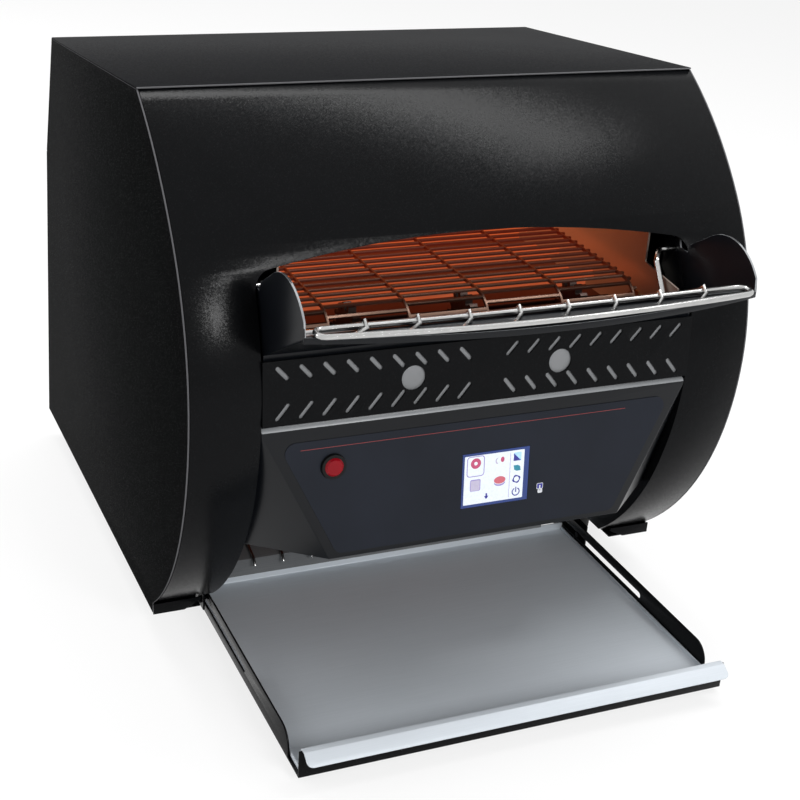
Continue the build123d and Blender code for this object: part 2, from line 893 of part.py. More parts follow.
def chain_face(reach):
    # The loop around both sprockets, moved out from the pitch line
    with Locations((rear_shaft_y, shaft_z)):
        Circle(driven_radius + reach)
    with Locations((motor_y, motor_z)):
        Circle(motor_pitch_radius + reach)
    make_hull()


with BuildPart() as drive_chain:
    for x in (chain_x - chain_gap / 2 - chain_plate, chain_x + chain_gap / 2):
        with BuildSketch(across(x)) as plate:
            chain_face(chain_reach)
        extrude(amount=chain_plate)
    with BuildSketch(across(chain_x - chain_gap)) as hollow:
        chain_face(-chain_reach)
    extrude(amount=2 * chain_gap, mode=Mode.SUBTRACT)
drive_chain.part.label = "drive_chain"
export_step(drive_chain.part, "parts/drive_chain.step")

bracket_half = gearbox_side / 2 + motor_margin
with BuildPart() as motor_bracket:
    with BuildSketch(across(motor_plate_x)):
        with BuildLine():
            Polyline(
                (motor_y - bracket_half, base_top_z),
                (motor_y + bracket_half, base_top_z),
                (motor_y + bracket_half, motor_z + bracket_half),
                (motor_y - bracket_half, motor_z + bracket_half),
                close=True,
            )
        make_face()
        with Locations((motor_y, motor_z)):
            Circle(motor_shaft_radius + motor_hole_gap, mode=Mode.SUBTRACT)
    extrude(amount=motor_plate)
    with Locations((motor_plate_x, motor_y, base_top_z)):
        Box(motor_foot, 2 * bracket_half, motor_plate, align=(Align.MIN, Align.CENTER, Align.MIN))
motor_bracket.part.label = "motor_bracket"
export_step(motor_bracket.part, "parts/motor_bracket.step")

gearbox_x = motor_plate_x + motor_plate
with BuildPart() as drive_motor:
    with BuildSketch(across(gearbox_x, motor_y, motor_z)):
        RectangleRounded(gearbox_side, gearbox_side, gearbox_corner)
    extrude(amount=gearbox_length)
    with BuildSketch(across(gearbox_x + gearbox_length, motor_y, motor_z)):
        Circle(motor_radius)
    extrude(amount=side_inner - motor_side_gap - gearbox_x - gearbox_length)
    with BuildSketch(across(gearbox_x, motor_y, motor_z)):
        Circle(motor_shaft_radius + running_fit)
    extrude(amount=gearbox_length / 2 + 2 * seam, mode=Mode.SUBTRACT)
drive_motor.part.label = "drive_motor"
export_step(drive_motor.part, "parts/drive_motor.step")

# ---- Chute behind and under the belt ----

slope = radians(chute_slope)
end_slope = radians(chute_end_slope)
chute_front_y = base_front_y - seam - sheet
chute_foot = (base_front_y, base_top_z + seam + sheet / cos(slope))
chute_bend = (chute_bend_y, chute_foot[1] + (chute_bend_y - base_front_y) * tan(slope))
chute_center = (chute_bend[0] - chute_bend_radius * sin(slope), chute_bend[1] + chute_bend_radius * cos(slope))


def chute_curve(foot_y, rise, lift):
    # The chute's line from a foot to a rise above its bend, moved off its upper face by a distance
    reach = chute_bend_radius - lift
    low = (chute_center[0] + reach * sin(slope), chute_center[1] - reach * cos(slope))
    high = (chute_center[0] + reach * sin(end_slope), chute_center[1] - reach * cos(end_slope))
    middle = (slope + end_slope) / 2
    knee = (chute_center[0] + reach * sin(middle), chute_center[1] - reach * cos(middle))
    foot = (foot_y, low[1] - (low[0] - foot_y) * tan(slope))
    top = (high[0] + rise / tan(end_slope), high[1] + rise)
    Line(foot, low)
    ThreePointArc(low, knee, high)
    Line(high, top)
    return foot, top


with BuildPart() as toast_chute:
    with BuildSketch(across(0)):
        with BuildLine():
            inner_foot, inner_top = chute_curve(chute_front_y, chute_rise, 0.0)
            outer_foot, outer_top = chute_curve(chute_front_y + sheet, chute_rise, -sheet)
            Polyline(inner_foot, (chute_front_y, chute_lip), (chute_front_y + sheet, chute_lip), outer_foot)
            Line(inner_top, outer_top)
        make_face()
    extrude(amount=inner_half, both=True)
toast_chute.part.label = "toast_chute"
export_step(toast_chute.part, "parts/toast_chute.step")

wire_lift = chute_wire_radius + running_fit
with BuildPart() as chute_wires:
    for n in range(chute_wire_count):
        x = (n - (chute_wire_count - 1) / 2) * chute_wire_pitch
        with BuildLine(across(x)):
            foot, top = chute_curve(chute_front_y - chute_wire_reach, chute_wire_rise, wire_lift)
            tip = Line((chute_wire_tip_y, chute_wire_tip_z), foot)
        with BuildSketch(Plane(origin=(x, chute_wire_tip_y, chute_wire_tip_z), x_dir=(1, 0, 0), z_dir=tip % 0)):
            RegularPolygon(chute_wire_radius, 6)
        sweep(transition=Transition.RIGHT)
chute_wires.part.label = "chute_wires"
export_step(chute_wires.part, "parts/chute_wires.step")

with BuildPart() as rear_deflector:
    with BuildSketch(across(0)):
        sheet_face(
            [
                (outer_top[0] + seam, outer_top[1] - deflector_lap),
                (outer_top[0] + deflector_step, deflector_knee_z),
                (deflector_top_y, deflector_top_z),
            ],
            -thin_sheet,
        )
    extrude(amount=inner_half, both=True)
rear_deflector.part.label = "rear_deflector"
export_step(rear_deflector.part, "parts/rear_deflector.step")

# ---- Guard, liner and loading deck ----

tilt = radians(guard_tilt)
slot_count = int((guard_half - slot_first_x - slot_margin) / slot_pitch) + 1
guard_plane = Plane(origin=(0, guard_top_y, guard_top_z), x_dir=(1, 0, 0), z_dir=(0, -cos(tilt), sin(tilt)))
with BuildPart() as burn_guard:
    with BuildSketch(guard_plane):
        with Locations((0, -guard_height / 2)):
            Rectangle(2 * guard_half, guard_height)
        with Locations((-guard_hole_x, -guard_hole_drop), (guard_hole_x, -guard_hole_drop)):
            Circle(guard_hole_radius, mode=Mode.SUBTRACT)
        for n in range(slot_count):
            x = slot_first_x + n * slot_pitch
            for side in (-1, 1):
                for (length, turn), (x_shift, y_shift) in (
                    (upper_slot, upper_slot_shift),
                    (lower_slot, lower_slot_shift),
                ):
                    with Locations((side * (x + x_shift), y_shift)):
                        Polygon(*slot_points(length, slot_width), rotation=side * turn, mode=Mode.SUBTRACT)
    extrude(amount=-sheet)
    with BuildSketch(guard_plane):
        with Locations((guard_half - sheet / 2, -guard_height / 2), (sheet / 2 - guard_half, -guard_height / 2)):
            Rectangle(sheet, guard_height)
    extrude(amount=-guard_tab_depth)
burn_guard.part.label = "burn_guard"
export_step(burn_guard.part, "parts/burn_guard.step")

liner_front = sheet + seam
liner_half = guard_half - sheet - seam
with BuildPart() as guard_liner:
    with BuildSketch(guard_plane.offset(-liner_front)):
        with Locations((0, -guard_height / 2)):
            Rectangle(2 * liner_half, guard_height - 4 * sheet)
    extrude(amount=-liner_sheet)
guard_liner.part.label = "guard_liner"
export_step(guard_liner.part, "parts/guard_liner.step")

# The deck's sloping floor ends in a tail that hangs behind the liner
tail_depth = liner_front + liner_sheet + seam + sheet
tail_top = (guard_top_y + tail_depth * cos(tilt), guard_top_z - tail_depth * sin(tilt))
tail_dir = (-sin(tilt), -cos(tilt))
rise = (deck_z(tail_top[0]) - tail_top[1]) / (cos(tilt) - sin(tilt) * deck_fall)
tail_knee = (tail_top[0] - rise * tail_dir[0], tail_top[1] - rise * tail_dir[1])
tail_end = (tail_knee[0] + deck_tail * tail_dir[0], tail_knee[1] + deck_tail * tail_dir[1])
floor_half = wing_half - sheet
tail_sheet = shifted([tail_end, tail_knee, (deck_chord_y, deck_top_z)], sheet)


def wing_point(turn):
    # Point of the wing's round top, by its angle from the rear
    return (
        wing_top_y + wing_radius * cos(radians(turn)),
        wing_top_z - wing_radius + wing_radius * sin(radians(turn)),
    )


with BuildPart() as loading_deck:
    with BuildSketch(across(0)):
        sheet_face([tail_end, tail_knee, (deck_chord_y, deck_top_z)], sheet)
    extrude(amount=floor_half, both=True)
    with BuildSketch(Plane.XY.offset(deck_top_z)):
        with BuildLine():
            Line((-wing_half, deck_chord_y + deck_rim), (-wing_half, deck_chord_y))
            ThreePointArc((-wing_half, deck_chord_y), (0, deck_chord_y - deck_bow), (wing_half, deck_chord_y))
            Polyline((wing_half, deck_chord_y), (wing_half, deck_chord_y + deck_rim), (-wing_half, deck_chord_y + deck_rim))
        make_face()
    extrude(amount=-sheet)
    with BuildSketch(Plane.XY.offset(deck_top_z)):
        with BuildLine():
            ThreePointArc((-wing_half, deck_chord_y), (0, deck_chord_y - deck_bow), (wing_half, deck_chord_y))
            ThreePointArc(
                (-wing_half, deck_chord_y + deck_rim_width),
                (0, deck_chord_y - deck_bow + deck_rim_width),
                (wing_half, deck_chord_y + deck_rim_width),
            )
            Line((-wing_half, deck_chord_y), (-wing_half, deck_chord_y + deck_rim_width))
            Line((wing_half, deck_chord_y), (wing_half, deck_chord_y + deck_rim_width))
        make_face()
    extrude(amount=-deck_rim)
    for x in (-wing_half, floor_half):
        with BuildSketch(across(x)):
            with BuildLine():
                ThreePointArc(wing_point(wing_arc_back), (wing_top_y, wing_top_z), wing_point(wing_arc_front))
                Polyline(
                    wing_point(wing_arc_front),
                    (deck_chord_y, deck_top_z),
                    (deck_chord_y, deck_top_z - deck_rim / 2),
                    tail_sheet[1],
                    tail_sheet[0],
                    tail_end,
                    (wing_back_y, tail_knee[1] + wing_back_height),
                    (wing_back_y, wing_back_top_z),
                    (notch_back_y + notch_slant, wing_back_top_z),
                    (notch_back_y, wing_notch_z),
                    (wing_mouth_y, wing_notch_z),
                    (wing_mouth_y - wing_mouth_gap, arch_spring_z - wing_mouth_gap),
                    wing_point(wing_arc_back),
                )
            make_face()
            with Locations((rack_pivot_y, rack_pivot_z)):
                Circle(rack_pin_radius + running_fit, mode=Mode.SUBTRACT)
        extrude(amount=sheet)
loading_deck.part.label = "loading_deck"
export_step(loading_deck.part, "parts/loading_deck.step")

# ---- Loading rack: a bowed loop of two rails, sloping wires, a rear rail and two pivot arms ----

rail_z = deck_top_z + seam + rack_rail_radius


def bowed_y(middle_y, end_y, x):
    # Place of a rail that is bowed to the front between its ends
    bow = end_y - middle_y
    radius = (rack_half**2 + bow**2) / (2 * bow)
    return middle_y + radius - sqrt(radius**2 - x**2)


def front_rail_y(x):
    return bowed_y(rack_front_mid_y, rack_front_end_y, x)


def back_rail_y(x):
    return bowed_y(rack_back_mid_y, rack_back_end_y, x)


quarter = rack_half / 2
pin_start = rack_tail_half + rack_arm_out + rack_pin_run
rack_wire_count = int(2 * (rack_tail_half - rack_wire_margin) / rack_wire_pitch) + 1
with BuildLine(Plane.XY.offset(rail_z)) as half_loop:
    ThreePointArc(
        (0, rack_front_mid_y), (quarter, front_rail_y(quarter)), (rack_half, rack_front_end_y)
    )
    Line((rack_half, rack_front_end_y), (rack_half, rack_back_end_y))
    ThreePointArc((rack_half, rack_back_end_y), (quarter, back_rail_y(quarter)), (0, rack_back_mid_y))
    fillet(
        half_loop.vertices().filter_by_position(Axis.X, rack_half - 1, rack_half + 1),
        radius=(rack_back_end_y - rack_front_end_y) * 0.45,
    )

with BuildPart() as loading_rack:
    with BuildSketch(Plane(origin=(0, rack_front_mid_y, rail_z), x_dir=(0, 1, 0), z_dir=(1, 0, 0))):
        RegularPolygon(rack_rail_radius, 8, major_radius=False, rotation=22.5)
    rails = sweep(path=half_loop.wires()[0], mode=Mode.PRIVATE)
    add(rails)
    add(mirror(rails, about=Plane.YZ, mode=Mode.PRIVATE))
    for n in range(rack_wire_count):
        x = (n - (rack_wire_count - 1) / 2) * rack_wire_pitch
        with BuildLine() as wire:
            Polyline(
                (x - rack_wire_lean, front_rail_y(x - rack_wire_lean), rail_z),
                (x, back_rail_y(x) - rack_hump_run, rail_z),
                (x, back_rail_y(x), rail_z + rack_hump_rise),
                (x, back_rail_y(x) + rack_hump_run, rail_z),
                (x, rack_tail_y, rack_tail_z),
            )
        ahead = wire.line % 0
        with BuildSketch(Plane(origin=wire.line @ 0, x_dir=ahead.cross(Vector(0, 0, 1)), z_dir=ahead)):
            RegularPolygon(rack_wire_radius, 6, major_radius=False)
        sweep(transition=Transition.RIGHT)
    with BuildLine() as tail:
        FilletPolyline(
            (0, rack_tail_y, rack_tail_z),
            (rack_tail_half, rack_tail_y, rack_tail_z),
            (rack_tail_half, rack_pivot_y - rack_arm_run, rack_pivot_z - rack_arm_rise),
            (rack_tail_half + rack_arm_out, rack_pivot_y, rack_pivot_z),
            (pin_start, rack_pivot_y, rack_pivot_z),
            radius=rack_arm_bend,
        )
    with BuildSketch(across(0, rack_tail_y, rack_tail_z)):
        RegularPolygon(rack_pin_radius, 8, major_radius=False, rotation=22.5)
    arm = sweep(path=tail.wires()[0], mode=Mode.PRIVATE)
    with BuildSketch(across(pin_start, rack_pivot_y, rack_pivot_z)):
        Circle(rack_pin_radius)
    pin = extrude(amount=wing_half - rack_pin_inset - pin_start, mode=Mode.PRIVATE)
    for piece in (arm, pin):
        add(piece)
        add(mirror(piece, about=Plane.YZ, mode=Mode.PRIVATE))
loading_rack.part.label = "loading_rack"
export_step(loading_rack.part, "parts/loading_rack.step")

# ---- Control housing ----

lean_in = radians(panel_tilt)
panel_plane = Plane(origin=(0, panel_top_y, panel_top_z), x_dir=(1, 0, 0), z_dir=(0, -cos(lean_in), sin(lean_in)))
panel_half = guard_half
cut_top = panel_plane.from_local_coords(Vector(panel_half, 0, 0))
cut_foot = panel_plane.from_local_coords(Vector(panel_foot_half, -panel_height, 0))
cut_side = panel_plane.from_local_coords(Vector(panel_half, -panel_height, -panel_cut_depth))
corner_plane = Plane(origin=cut_top, z_dir=(cut_foot - cut_top).cross(cut_side - cut_top))
button_at = (button_x, -button_drop)
screen_at = (screen_x, -screen_drop)


def overlay_half(drop):
    return panel_half - (panel_half - panel_foot_half) * drop / panel_height - overlay_margin


with BuildPart() as control_housing:
    with BuildSketch(panel_plane):
        with BuildLine():
            Polyline(
                (0, ridge_height), (panel_half, ridge_height), (panel_half, -panel_height), (0, -panel_height), close=True
            )
        make_face()
    extrude(amount=-housing_depth)
    split(bisect_by=corner_plane, keep=Keep.BOTTOM)
    mirror(about=Plane.YZ)
    fillet(control_housing.edges().filter_by(Axis.X).sort_by(Axis.Z)[-2:].sort_by(Axis.Y)[0], radius=ridge_radius)
    offset(amount=-sheet, openings=control_housing.faces().sort_by(Axis.Y)[-1], kind=Kind.INTERSECTION)
    with BuildSketch(panel_plane):
        with Locations(screen_at):
            Rectangle(screen_width + 2 * seam, screen_height + 2 * seam)
        with Locations(button_at):
            Circle(barrel_radius + seam)
    extrude(amount=-3 * sheet, mode=Mode.SUBTRACT)
control_housing.part.label = "control_housing"
export_step(control_housing.part, "parts/control_housing.step")

with BuildPart() as control_overlay:
    with BuildSketch(panel_plane) as print_area:
        with BuildLine():
            Polyline(
                (overlay_half(overlay_top), -overlay_top),
                (overlay_half(overlay_bottom), -overlay_bottom),
                (-overlay_half(overlay_bottom), -overlay_bottom),
                (-overlay_half(overlay_top), -overlay_top),
                close=True,
            )
        make_face()
        fillet(print_area.vertices(), radius=overlay_corner)
        with Locations(screen_at):
            Rectangle(screen_width + 2 * seam, screen_height + 2 * seam, mode=Mode.SUBTRACT)
        with Locations(button_at):
            Circle(barrel_radius + seam, mode=Mode.SUBTRACT)
    extrude(amount=overlay_sheet)
control_overlay.part.label = "control_overlay"
export_step(control_overlay.part, "parts/control_overlay.step")

glass_back = glass_thickness - overlay_sheet
with BuildPart() as display_glass:
    with BuildSketch(panel_plane.offset(-glass_back)):
        with Locations(screen_at):
            Rectangle(screen_width, screen_height)
    extrude(amount=glass_thickness)
display_glass.part.label = "display_glass"
export_step(display_glass.part, "parts/display_glass.step")

with BuildPart() as display_module:
    with BuildSketch(panel_plane.offset(-sheet)):
        with Locations(screen_at):
            Rectangle(screen_width + 2 * module_border, screen_height + 2 * module_border)
    extrude(amount=-module_depth)
display_module.part.label = "display_module"
export_step(display_module.part, "parts/display_module.step")

with BuildPart() as button_bezel:
    with BuildSketch(panel_plane.offset(overlay_sheet)):
        with Locations(button_at):
            Circle(bezel_radius)
    extrude(amount=bezel_rise, taper=bezel_taper)
    with BuildSketch(panel_plane.offset(overlay_sheet)):
        with Locations(button_at):
            Circle(barrel_radius)
    extrude(amount=-barrel_depth)
    with BuildSketch(panel_plane.offset(overlay_sheet + bezel_rise)):
        with Locations(button_at):
            Circle(button_radius + running_fit)
    extrude(amount=-(bezel_rise + barrel_depth - bezel_floor), mode=Mode.SUBTRACT)
button_bezel.part.label = "button_bezel"
export_step(button_bezel.part, "parts/button_bezel.step")

with BuildPart() as power_button:
    with BuildSketch(panel_plane.offset(overlay_sheet + bezel_rise + button_proud)):
        with Locations(button_at):
            Circle(button_radius)
    extrude(amount=-(barrel_depth - button_travel - button_heel))
    chamfer(power_button.edges().filter_by(GeomType.CIRCLE).sort_by(Axis.Y)[0], length=button_chamfer)
power_button.part.label = "power_button"
export_step(power_button.part, "parts/power_button.step")

with BuildPart() as control_board:
    with BuildSketch(panel_plane.offset(-sheet - board_standoff)):
        with Locations((board_x, -screen_drop)):
            Rectangle(board_width, board_height)
    extrude(amount=-board_sheet)
    with BuildSketch(panel_plane.offset(-sheet)):
        with Locations((board_x, -screen_drop)):
            with GridLocations(board_width - 2 * board_post_inset, board_height - 2 * board_post_inset, 2, 2):
                RegularPolygon(board_post_radius, 6)
    extrude(amount=-board_standoff)
control_board.part.label = "control_board"
export_step(control_board.part, "parts/control_board.step")

# ---- Fan and cable entry on the lower back ----

inner_back = back_plane.offset(-sheet)
fan_at = (0, fan_rise)
with BuildPart() as fan_frame:
    with BuildSketch(inner_back):
        with Locations(fan_at):
            RectangleRounded(fan_size, fan_size, fan_corner)
            Circle(fan_bore, mode=Mode.SUBTRACT)
    extrude(amount=-fan_depth)
    with BuildSketch(inner_back.offset(-fan_depth)):
        with Locations(fan_at):
            Circle(fan_hub)
            for turn in fan_arm_turns:
                with PolarLocations(fan_bore / 2, 1, start_angle=turn):
                    Rectangle(fan_bore + 2 * fan_tip_gap, fan_arm)
    extrude(amount=fan_spider)
fan_frame.part.label = "fan_frame"
export_step(fan_frame.part, "parts/fan_frame.step")

rotor_plane = inner_back.offset(-fan_depth + fan_spider + seam)
rotor_depth = fan_depth - fan_spider - fan_end_gap
with BuildPart() as fan_rotor:
    with BuildSketch(rotor_plane):
        with Locations(fan_at):
            Circle(fan_hub)
    extrude(amount=rotor_depth)
    for n in range(fan_blades):
        turn = n * 2 * pi / fan_blades
        out = rotor_plane.x_dir * cos(turn) + rotor_plane.y_dir * sin(turn)
        middle = rotor_plane.from_local_coords(Vector(fan_at[0], fan_at[1], rotor_depth / 2))
        with BuildSketch(Plane(origin=middle + out * (fan_hub - blade_root), x_dir=rotor_plane.z_dir, z_dir=out)):
            Rectangle(rotor_depth - 2 * blade_inset, blade_sheet, rotation=blade_turn)
        extrude(amount=fan_bore - fan_tip_gap - fan_hub)
fan_rotor.part.label = "fan_rotor"
export_step(fan_rotor.part, "parts/fan_rotor.step")

with BuildPart() as fan_guard:
    with BuildSketch(back_plane):
        with Locations(fan_at):
            for share in guard_rings:
                RegularPolygon(share * fan_bore, guard_ring_sides)
                RegularPolygon(share * fan_bore - guard_wire, guard_ring_sides, mode=Mode.SUBTRACT)
            Rectangle(2 * fan_bore, guard_wire)
            Rectangle(guard_wire, 2 * fan_bore)
    extrude(amount=guard_wire)
fan_guard.part.label = "fan_guard"
export_step(fan_guard.part, "parts/fan_guard.step")

gland_at = (-gland_x, gland_rise)
with BuildPart() as supply_gland:
    with BuildSketch(back_plane):
        with Locations(gland_at):
            RegularPolygon(gland_flange, 6)
    extrude(amount=gland_out)
    with BuildSketch(back_plane.offset(-gland_in)):
        with Locations(gland_at):
            Circle(gland_radius)
    extrude(amount=gland_in)
    with BuildSketch(back_plane.offset(-gland_in)):
        with Locations(gland_at):
            Circle(gland_bore)
    extrude(amount=gland_in + gland_out, mode=Mode.SUBTRACT)
supply_gland.part.label = "supply_gland"
export_step(supply_gland.part, "parts/supply_gland.step")

terminal_pitch = terminal_length / terminal_ways
with BuildPart() as terminal_block:
    with Locations((terminal_x, terminal_y, base_top_z)):
        Box(
            terminal_depth, terminal_length, terminal_height, align=(Align.CENTER, Align.CENTER, Align.MIN)
        )
    with Locations((terminal_x, terminal_y, base_top_z + terminal_height)):
        with GridLocations(0, terminal_pitch, 1, terminal_ways):
            Box(
                terminal_depth - 2 * terminal_rib,
                terminal_pitch - terminal_rib,
                terminal_slot_depth,
                mode=Mode.SUBTRACT,
            )
terminal_block.part.label = "terminal_block"
export_step(terminal_block.part, "parts/terminal_block.step")

# ---- Tray frame, its hangers and screws, and the steel insert ----

bracket_inner = tray_half - sheet


def slot_face(radius):
    # The long slot in a tray bracket
    with Locations(((slot_front_y + slot_back_y) / 2, slot_z)):
        SlotCenterToCenter(slot_back_y - slot_front_y, 2 * radius, mode=Mode.SUBTRACT)


with BuildPart() as tray_frame:
    with BuildSketch(across(0)):
        sheet_face(
            [(tray_back_y, tray_bottom_z), (tray_front_y, tray_bottom_z), (tray_front_y, tray_front_z)], -sheet
        )
    extrude(amount=tray_half, both=True)
    for x in (-tray_half, bracket_inner):
        with BuildSketch(across(x)) as bracket:
            with BuildLine():
                Polyline(
                    (bracket_front_y, tray_bottom_z),
                    (bracket_back_y, tray_bottom_z),
                    (bracket_back_y, bracket_top_z),
                    (bracket_front_y, bracket_top_z),
                    close=True,
                )
            make_face()
            fillet(bracket.vertices().sort_by(Axis.X)[:2].sort_by(Axis.Y)[-1], radius=bracket_corner)
            slot_face(screw_radius + slide_fit)
        extrude(amount=sheet)
tray_frame.part.label = "tray_frame"
export_step(tray_frame.part, "parts/tray_frame.step")

screw_places = ((screw_front_y, slot_z), (screw_back_y, slot_z))
with BuildPart() as tray_hangers:
    with BuildSketch(across(hanger_x)):
        with BuildLine():
            Polyline(
                (screw_front_y - hanger_margin, slot_z - hanger_drop),
                (screw_back_y + hanger_margin, slot_z - hanger_drop),
                (screw_back_y + hanger_margin, foot_height),
                (screw_front_y - hanger_margin, foot_height),
                close=True,
            )
        make_face()
        with Locations(*screw_places):
            Circle(screw_radius, mode=Mode.SUBTRACT)
    extrude(amount=sheet)
    with Locations((hanger_x, base_front_y, foot_height)):
        Box(
            hanger_flange,
            screw_back_y + hanger_margin - base_front_y,
            sheet,
            align=(Align.MIN, Align.MIN, Align.MAX),
        )
    mirror(about=Plane.YZ)
tray_hangers.part.label = "tray_hangers"
export_step(tray_hangers.part, "parts/tray_hangers.step")

with BuildPart() as tray_screws:
    with BuildSketch(across(bracket_inner - sheet / 4)):
        with Locations(*screw_places):
            Circle(screw_radius)
    extrude(amount=hanger_x + sheet - bracket_inner + sheet / 4)
    with BuildSketch(across(hanger_x + sheet)):
        with Locations(*screw_places):
            Circle(screw_radius + tray_screw_head)
    extrude(amount=tray_screw_head)
    mirror(about=Plane.YZ)
tray_screws.part.label = "tray_screws"
export_step(tray_screws.part, "parts/tray_screws.step")

insert_half = bracket_inner - insert_gap
insert_z = tray_bottom_z + sheet + seam
insert_turn = insert_bend + insert_sheet
insert_under = [
    (insert_back_y, insert_z + insert_back_rise),
    (insert_back_y, insert_z),
    (lip_back_y - insert_sheet, insert_z),
    (lip_back_y - insert_sheet, lip_top_z - insert_sheet),
    (lip_crest_y, lip_top_z - insert_sheet),
    (lip_nose_y, lip_nose_z),
]
insert_over = shifted(insert_under, -insert_sheet)
with BuildPart() as tray_insert:
    with BuildSketch(across(0)) as section:
        sheet_face(insert_under, -insert_sheet)
        for corners, radius in (
            (insert_under[1:3] + insert_over[3:5], insert_turn),
            (insert_over[1:3] + insert_under[3:5], insert_bend),
        ):
            fillet([section.vertices().sort_by_distance(corner)[0] for corner in corners], radius=radius)
    extrude(amount=insert_half, both=True)
    for x in (-insert_half, insert_half - insert_sheet):
        with BuildSketch(across(x)):
            with BuildLine():
                Polyline(
                    (insert_back_y - insert_turn, insert_z),
                    (lip_back_y + insert_bend, insert_z),
                    (lip_back_y + insert_bend, insert_z + insert_sheet + insert_side_rise),
                    (insert_back_y - insert_turn, insert_z + insert_sheet + insert_side_rise),
                    close=True,
                )
            make_face()
        extrude(amount=insert_sheet)
    fillet(tray_insert.edges().filter_by(Axis.X, reverse=True).sort_by(Axis.Y)[:2], radius=lip_corner)
tray_insert.part.label = "tray_insert"
export_step(tray_insert.part, "parts/tray_insert.step")
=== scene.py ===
import json
from math import cos, pi, radians, sin

import bpy
from mathutils import Matrix, Vector

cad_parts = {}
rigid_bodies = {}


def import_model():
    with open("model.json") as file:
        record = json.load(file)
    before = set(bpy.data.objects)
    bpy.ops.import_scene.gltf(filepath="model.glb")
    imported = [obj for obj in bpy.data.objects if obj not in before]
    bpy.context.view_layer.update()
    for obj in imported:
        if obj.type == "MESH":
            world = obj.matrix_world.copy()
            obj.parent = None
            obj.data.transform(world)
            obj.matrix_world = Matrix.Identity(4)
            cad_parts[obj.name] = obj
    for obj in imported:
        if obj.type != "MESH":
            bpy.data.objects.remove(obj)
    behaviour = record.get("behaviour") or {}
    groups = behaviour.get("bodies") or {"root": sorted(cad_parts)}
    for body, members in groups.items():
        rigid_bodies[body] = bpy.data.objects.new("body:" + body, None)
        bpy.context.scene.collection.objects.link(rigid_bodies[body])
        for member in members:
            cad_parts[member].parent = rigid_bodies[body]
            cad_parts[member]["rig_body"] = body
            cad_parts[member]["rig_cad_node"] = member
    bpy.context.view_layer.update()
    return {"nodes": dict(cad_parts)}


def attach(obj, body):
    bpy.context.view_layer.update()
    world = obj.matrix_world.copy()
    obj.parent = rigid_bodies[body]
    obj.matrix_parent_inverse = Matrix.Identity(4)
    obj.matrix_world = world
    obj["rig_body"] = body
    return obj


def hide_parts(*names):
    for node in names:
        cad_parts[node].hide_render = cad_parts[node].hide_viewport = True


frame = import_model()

nodes = frame["nodes"]
mm = 0.001
print("stage: frame loaded,", len(nodes), "nodes")


def deselectAll():
    bpy.ops.object.select_all(action="DESELECT")


def pick(*objs):
    # these objects alone are selected, the last one active
    deselectAll()
    for obj in objs:
        obj.select_set(True)
    bpy.context.view_layer.objects.active = objs[-1]


def settle(obj):
    # the object's place goes into its mesh
    pick(obj)
    bpy.ops.object.transform_apply(location=True, rotation=True, scale=True)


def applyAll(obj):
    pick(obj)
    for modifier in list(obj.modifiers):
        bpy.ops.object.modifier_apply(modifier=modifier.name)


def smoothByAngle(obj, angle):
    pick(obj)
    bpy.ops.object.shade_smooth_by_angle(angle=radians(angle))


def selectFaces(obj, test):
    # edit mode, face select, the faces whose centre and normal pass the test
    pick(obj)
    for item in list(obj.data.vertices) + list(obj.data.edges) + list(obj.data.polygons):
        item.select = False
    for face in obj.data.polygons:
        face.select = bool(test(face.center, face.normal))
    bpy.ops.object.mode_set(mode="EDIT")
    bpy.ops.mesh.select_mode(type="FACE")


def leaveEdit():
    bpy.ops.object.mode_set(mode="OBJECT")


def joined(name, objs):
    pick(*objs)
    if len(objs) > 1:
        bpy.ops.object.join()
    obj = bpy.context.view_layer.objects.active
    obj.name = name
    obj.data.name = name
    return obj


# Camera
camera = {
    "place": (-486.4, -1084.7, 689.8),  # mm
    "azimuth": -0.438300194,
    "elevation": 0.451888362,
    "roll": -0.0711068467,
    "lens": 69.334,
    "shift": (-0.00455, 0.04291),
}


def addCamera(values):
    turn, dip, roll = values["azimuth"], values["elevation"], values["roll"]
    forward = Vector((-sin(turn) * cos(dip), cos(turn) * cos(dip), -sin(dip)))
    right = Vector((cos(turn), sin(turn), 0))
    down = forward.cross(right)
    across = cos(roll) * right + sin(roll) * down
    up = sin(roll) * right - cos(roll) * down
    bpy.ops.object.camera_add()
    eye = bpy.context.object
    eye.name = "camera"
    eye.data.sensor_width = 36
    eye.data.lens = values["lens"]
    eye.data.shift_x, eye.data.shift_y = values["shift"]
    eye.data.clip_end = 20
    turned = Matrix((across, up, -forward)).transposed().to_4x4()
    eye.matrix_world = Matrix.Translation(Vector(values["place"]) * mm) @ turned
    bpy.context.scene.camera = eye


addCamera(camera)

# Floor, backdrop and lamps
studio = {
    "floorSize": 9.0,
    "floorColour": (0.93, 0.93, 0.93),
    "background": 1.0,
    "shadow": 0.22,
    "worldLight": 0.5,
    "lamps": [
        # name, place, aims at, width, height, watts
        ("overhead", (0.3, 0.35, 2.1), (0.0, -0.05, 0.35), 3.0, 0.5, 54),
        ("frontHigh", (0.2, -1.6, 0.84), (-0.2, -0.17, 0.31), 0.4, 0.36, 13),
        ("leftSide", (-2.0, 0.6, 1.2), (-0.2, 0.1, 0.2), 1.2, 1.2, 12),
        ("rear", (-1.1, 2.2, 0.9), (0.0, 0.1, 0.2), 1.4, 1.0, 14),
    ],
}


